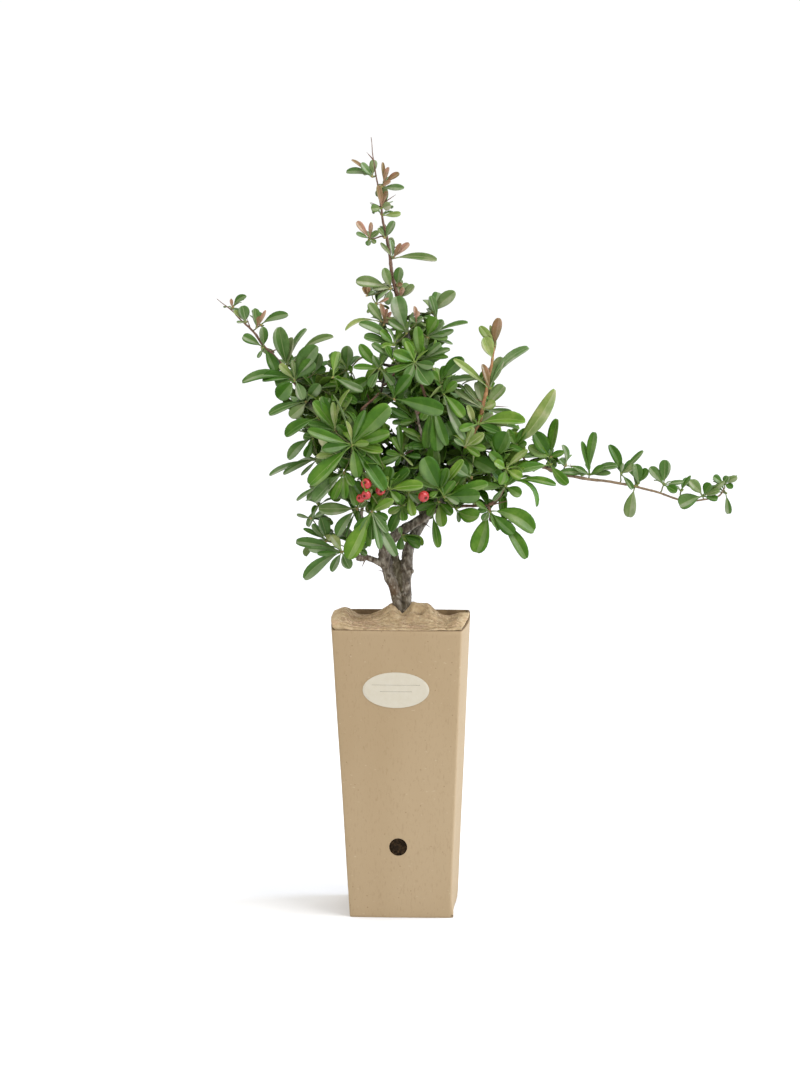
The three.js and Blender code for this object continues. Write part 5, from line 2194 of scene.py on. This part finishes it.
def berry_shape(middle, axis, radius):
    """A slightly flattened fruit with a hollow eye."""
    rows, sides = BERRY["rows"], BERRY["sides"]
    around = circle(*square_axes(axis, BERRY["hint"]), sides)
    start, reach = BERRY["ends"]
    rings = []
    for row in range(rows):
        angle = math.pi * (start + reach * row / (rows - 1))
        hollow = hollow_at(angle, BERRY["eye"]) + hollow_at(math.pi - angle, BERRY["dimple"])
        level = radius * math.sin(angle)
        height = radius * BERRY["height"] * math.cos(angle)
        height -= hollow * radius * math.copysign(1, math.cos(angle))
        rings.append(middle + axis * height + around * level)
    return np.vstack(rings[::-1]), ring_faces(rows, sides)


def calyx_lobes(heap, middle, axis, radius):
    """Small dry lobes that fold over the eye of the fruit."""
    for out in circle(*square_axes(axis, BERRY["hint"]), CALYX["lobes"]):
        line = [
            middle + axis * radius * along + out * radius * outward
            for along, outward in zip(CALYX["along"], CALYX["outward"])
        ]
        heap.add_tube(1, line, radius * np.array(CALYX["radii"]), CALYX["sides"])


def add_berries(materials, stalks):
    heap = Heap()
    draw = random.Random(8)
    for pixel, depth, radius in BERRIES:
        middle = at_pixel(pixel, depth)
        aslant = draw.uniform(*BERRY["aslant"])
        axis = unit(np.array([aslant, -1.0, draw.uniform(*BERRY["tilted"])]))
        heap.add(*berry_shape(middle, axis, radius), 0)
        calyx_lobes(heap, middle, axis, radius)
        foot = middle - axis * radius * BERRY["stalk_foot"]
        nearest, gap = wood.nearest(foot)
        start = wood.places[nearest]
        sag = (start + foot) / 2 + Z * BERRY["sag"] * gap
        line = smooth_curve([start, sag, foot], BERRY["stalk_step"])
        stalks.add_tube(GREEN, line, np.full(len(line), BERRY["stalk_radius"]), TWIG["sides"])
        round_it = np.array([[x, 0, z] for x in BERRY["clear"] for z in BERRY["clear"]])
        keep_clear(middle + round_it - (0, radius + 1, 0))
    heap.piece("berries", materials)


# ---------- plant ----------


def build_plant():
    masses = crown_masses()
    trunk_and_boughs([
        bark_look("old_bark", (64, 55, 44), (124, 113, 98), (188, 179, 163)),
        # Darker, browner bark for the groove between the stems: painted shade.
        bark_look("painted_shade_hollow_bark", (50, 43, 30), (96, 88, 68), (148, 140, 118)),
    ])
    shoots = add_shoots()
    add_seen_stems(shoots)
    add_thorns(shoots)
    measured_sprays()
    long_curved_leaf()
    add_berries(berry_looks(), twigs)
    leaves_behind(masses)
    grown_sprays(masses)

    brown = shoot_look("young_bark", (100, 70, 52), (142, 106, 84))
    orange = shoot_look("shoot_bark", (158, 108, 66), (196, 148, 98))
    green = shoot_look("spur_bark", (88, 92, 50), (126, 130, 72))
    tan = shoot_look("arm_bark", (118, 96, 72), (164, 140, 108))
    shown = shoots.piece("shoots", [brown, orange, tan])
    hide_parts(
        "leader", "left_shoot", "right_shoot", "long_arm", "low_right_bough", "hanging_twig"
    )
    small = twigs.piece("twigs", [brown, green])
    scales = [
        fibre_look("bud_scale", (150, 132, 84), (186, 168, 112)),
        fibre_look("bud_tip", (122, 140, 66), (160, 170, 92)),
    ]
    buds.piece("buds", scales)
    for tint, heap in leaf_heaps.items():
        name = "leaves_" + tint
        piece = heap.piece(name, leaf_looks(name, *TINTS[tint]))
        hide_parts(*sorted(masses))


def build_pot():
    soil = soil_look()
    pot_shell([carton_look(), board_edge_look(), painted_shade_board_look()])
    label_plate([label_look(), ink_look()])
    soil_block(soil)
    soil_crumbs(soil)
    mulch_mat(felt_look())
    mulch_strands([
        fibre_look("strand_tan", (196, 169, 128), (216, 191, 152)),
        fibre_look("strand_pale", (208, 185, 148), (226, 207, 174)),
        fibre_look("strand_brown", (176, 148, 109), (198, 171, 132)),
        fibre_look("strand_rose", (202, 166, 138), (224, 190, 162)),
    ])


# ---------- stage ----------

LIGHTS = {
    # place and size in metres, watts, colour
    "key": ((1.5, -1.0, 2.2), 1.5, 37.0, (1.0, 1.0, 1.0)),
    "side": ((2.0, 0.3, 0.9), 0.9, 27.0, (0.85, 1.01, 1.32)),
}
DOME = {"level": 1.02, "overhead": 1.6}  # how bright the studio is all round and straight above
FLOOR_REACH = 40.0  # metres
LIT_PLACE = (0, 0, 0.25)  # where the lights point, in metres


def add_dome():
    """An even white studio that grows brighter overhead."""
    world = bpy.data.worlds.new("studio")
    world.use_nodes = True
    nodes, links = world.node_tree.nodes, world.node_tree.links
    direction = nodes.new("ShaderNodeTexCoord").outputs["Generated"]
    parts = nodes.new("ShaderNodeSeparateXYZ")
    links.new(direction, parts.inputs["Vector"])
    strength = nodes.new("ShaderNodeMapRange")
    strength.interpolation_type = "SMOOTHSTEP"
    strength.inputs["From Min"].default_value = 0.0
    strength.inputs["From Max"].default_value = 1.0
    strength.inputs["To Min"].default_value = DOME["level"]
    strength.inputs["To Max"].default_value = DOME["overhead"]
    links.new(parts.outputs["Z"], strength.inputs["Value"])
    background = nodes["Background"]
    background.inputs["Color"].default_value = (1.0, 1.0, 1.0, 1.0)
    links.new(strength.outputs["Result"], background.inputs["Strength"])
    bpy.context.scene.world = world


def add_stage():
    reach = FLOOR_REACH
    mesh = bpy.data.meshes.new("floor")
    corners = [(-reach, -reach, 0), (reach, -reach, 0), (reach, reach, 0), (-reach, reach, 0)]
    mesh.from_pydata(corners, [], [(0, 1, 2, 3)])
    mesh.materials.append(floor_look())
    floor = bpy.data.objects.new("floor", mesh)
    bpy.context.scene.collection.objects.link(floor)

    add_dome()

    for name, (place, size, power, colour) in LIGHTS.items():
        data = bpy.data.lights.new(name, "AREA")
        data.shape = "SQUARE"
        data.size = size
        data.energy = power
        data.color = colour
        light = bpy.data.objects.new(name, data)
        light.location = place
        towards = Vector(LIT_PLACE) - Vector(place)
        light.rotation_euler = towards.to_track_quat("-Z", "Y").to_euler()
        bpy.context.scene.collection.objects.link(light)
    bpy.context.scene.view_settings.view_transform = "Standard"


add_camera()
add_stage()
build_pot()
build_plant()
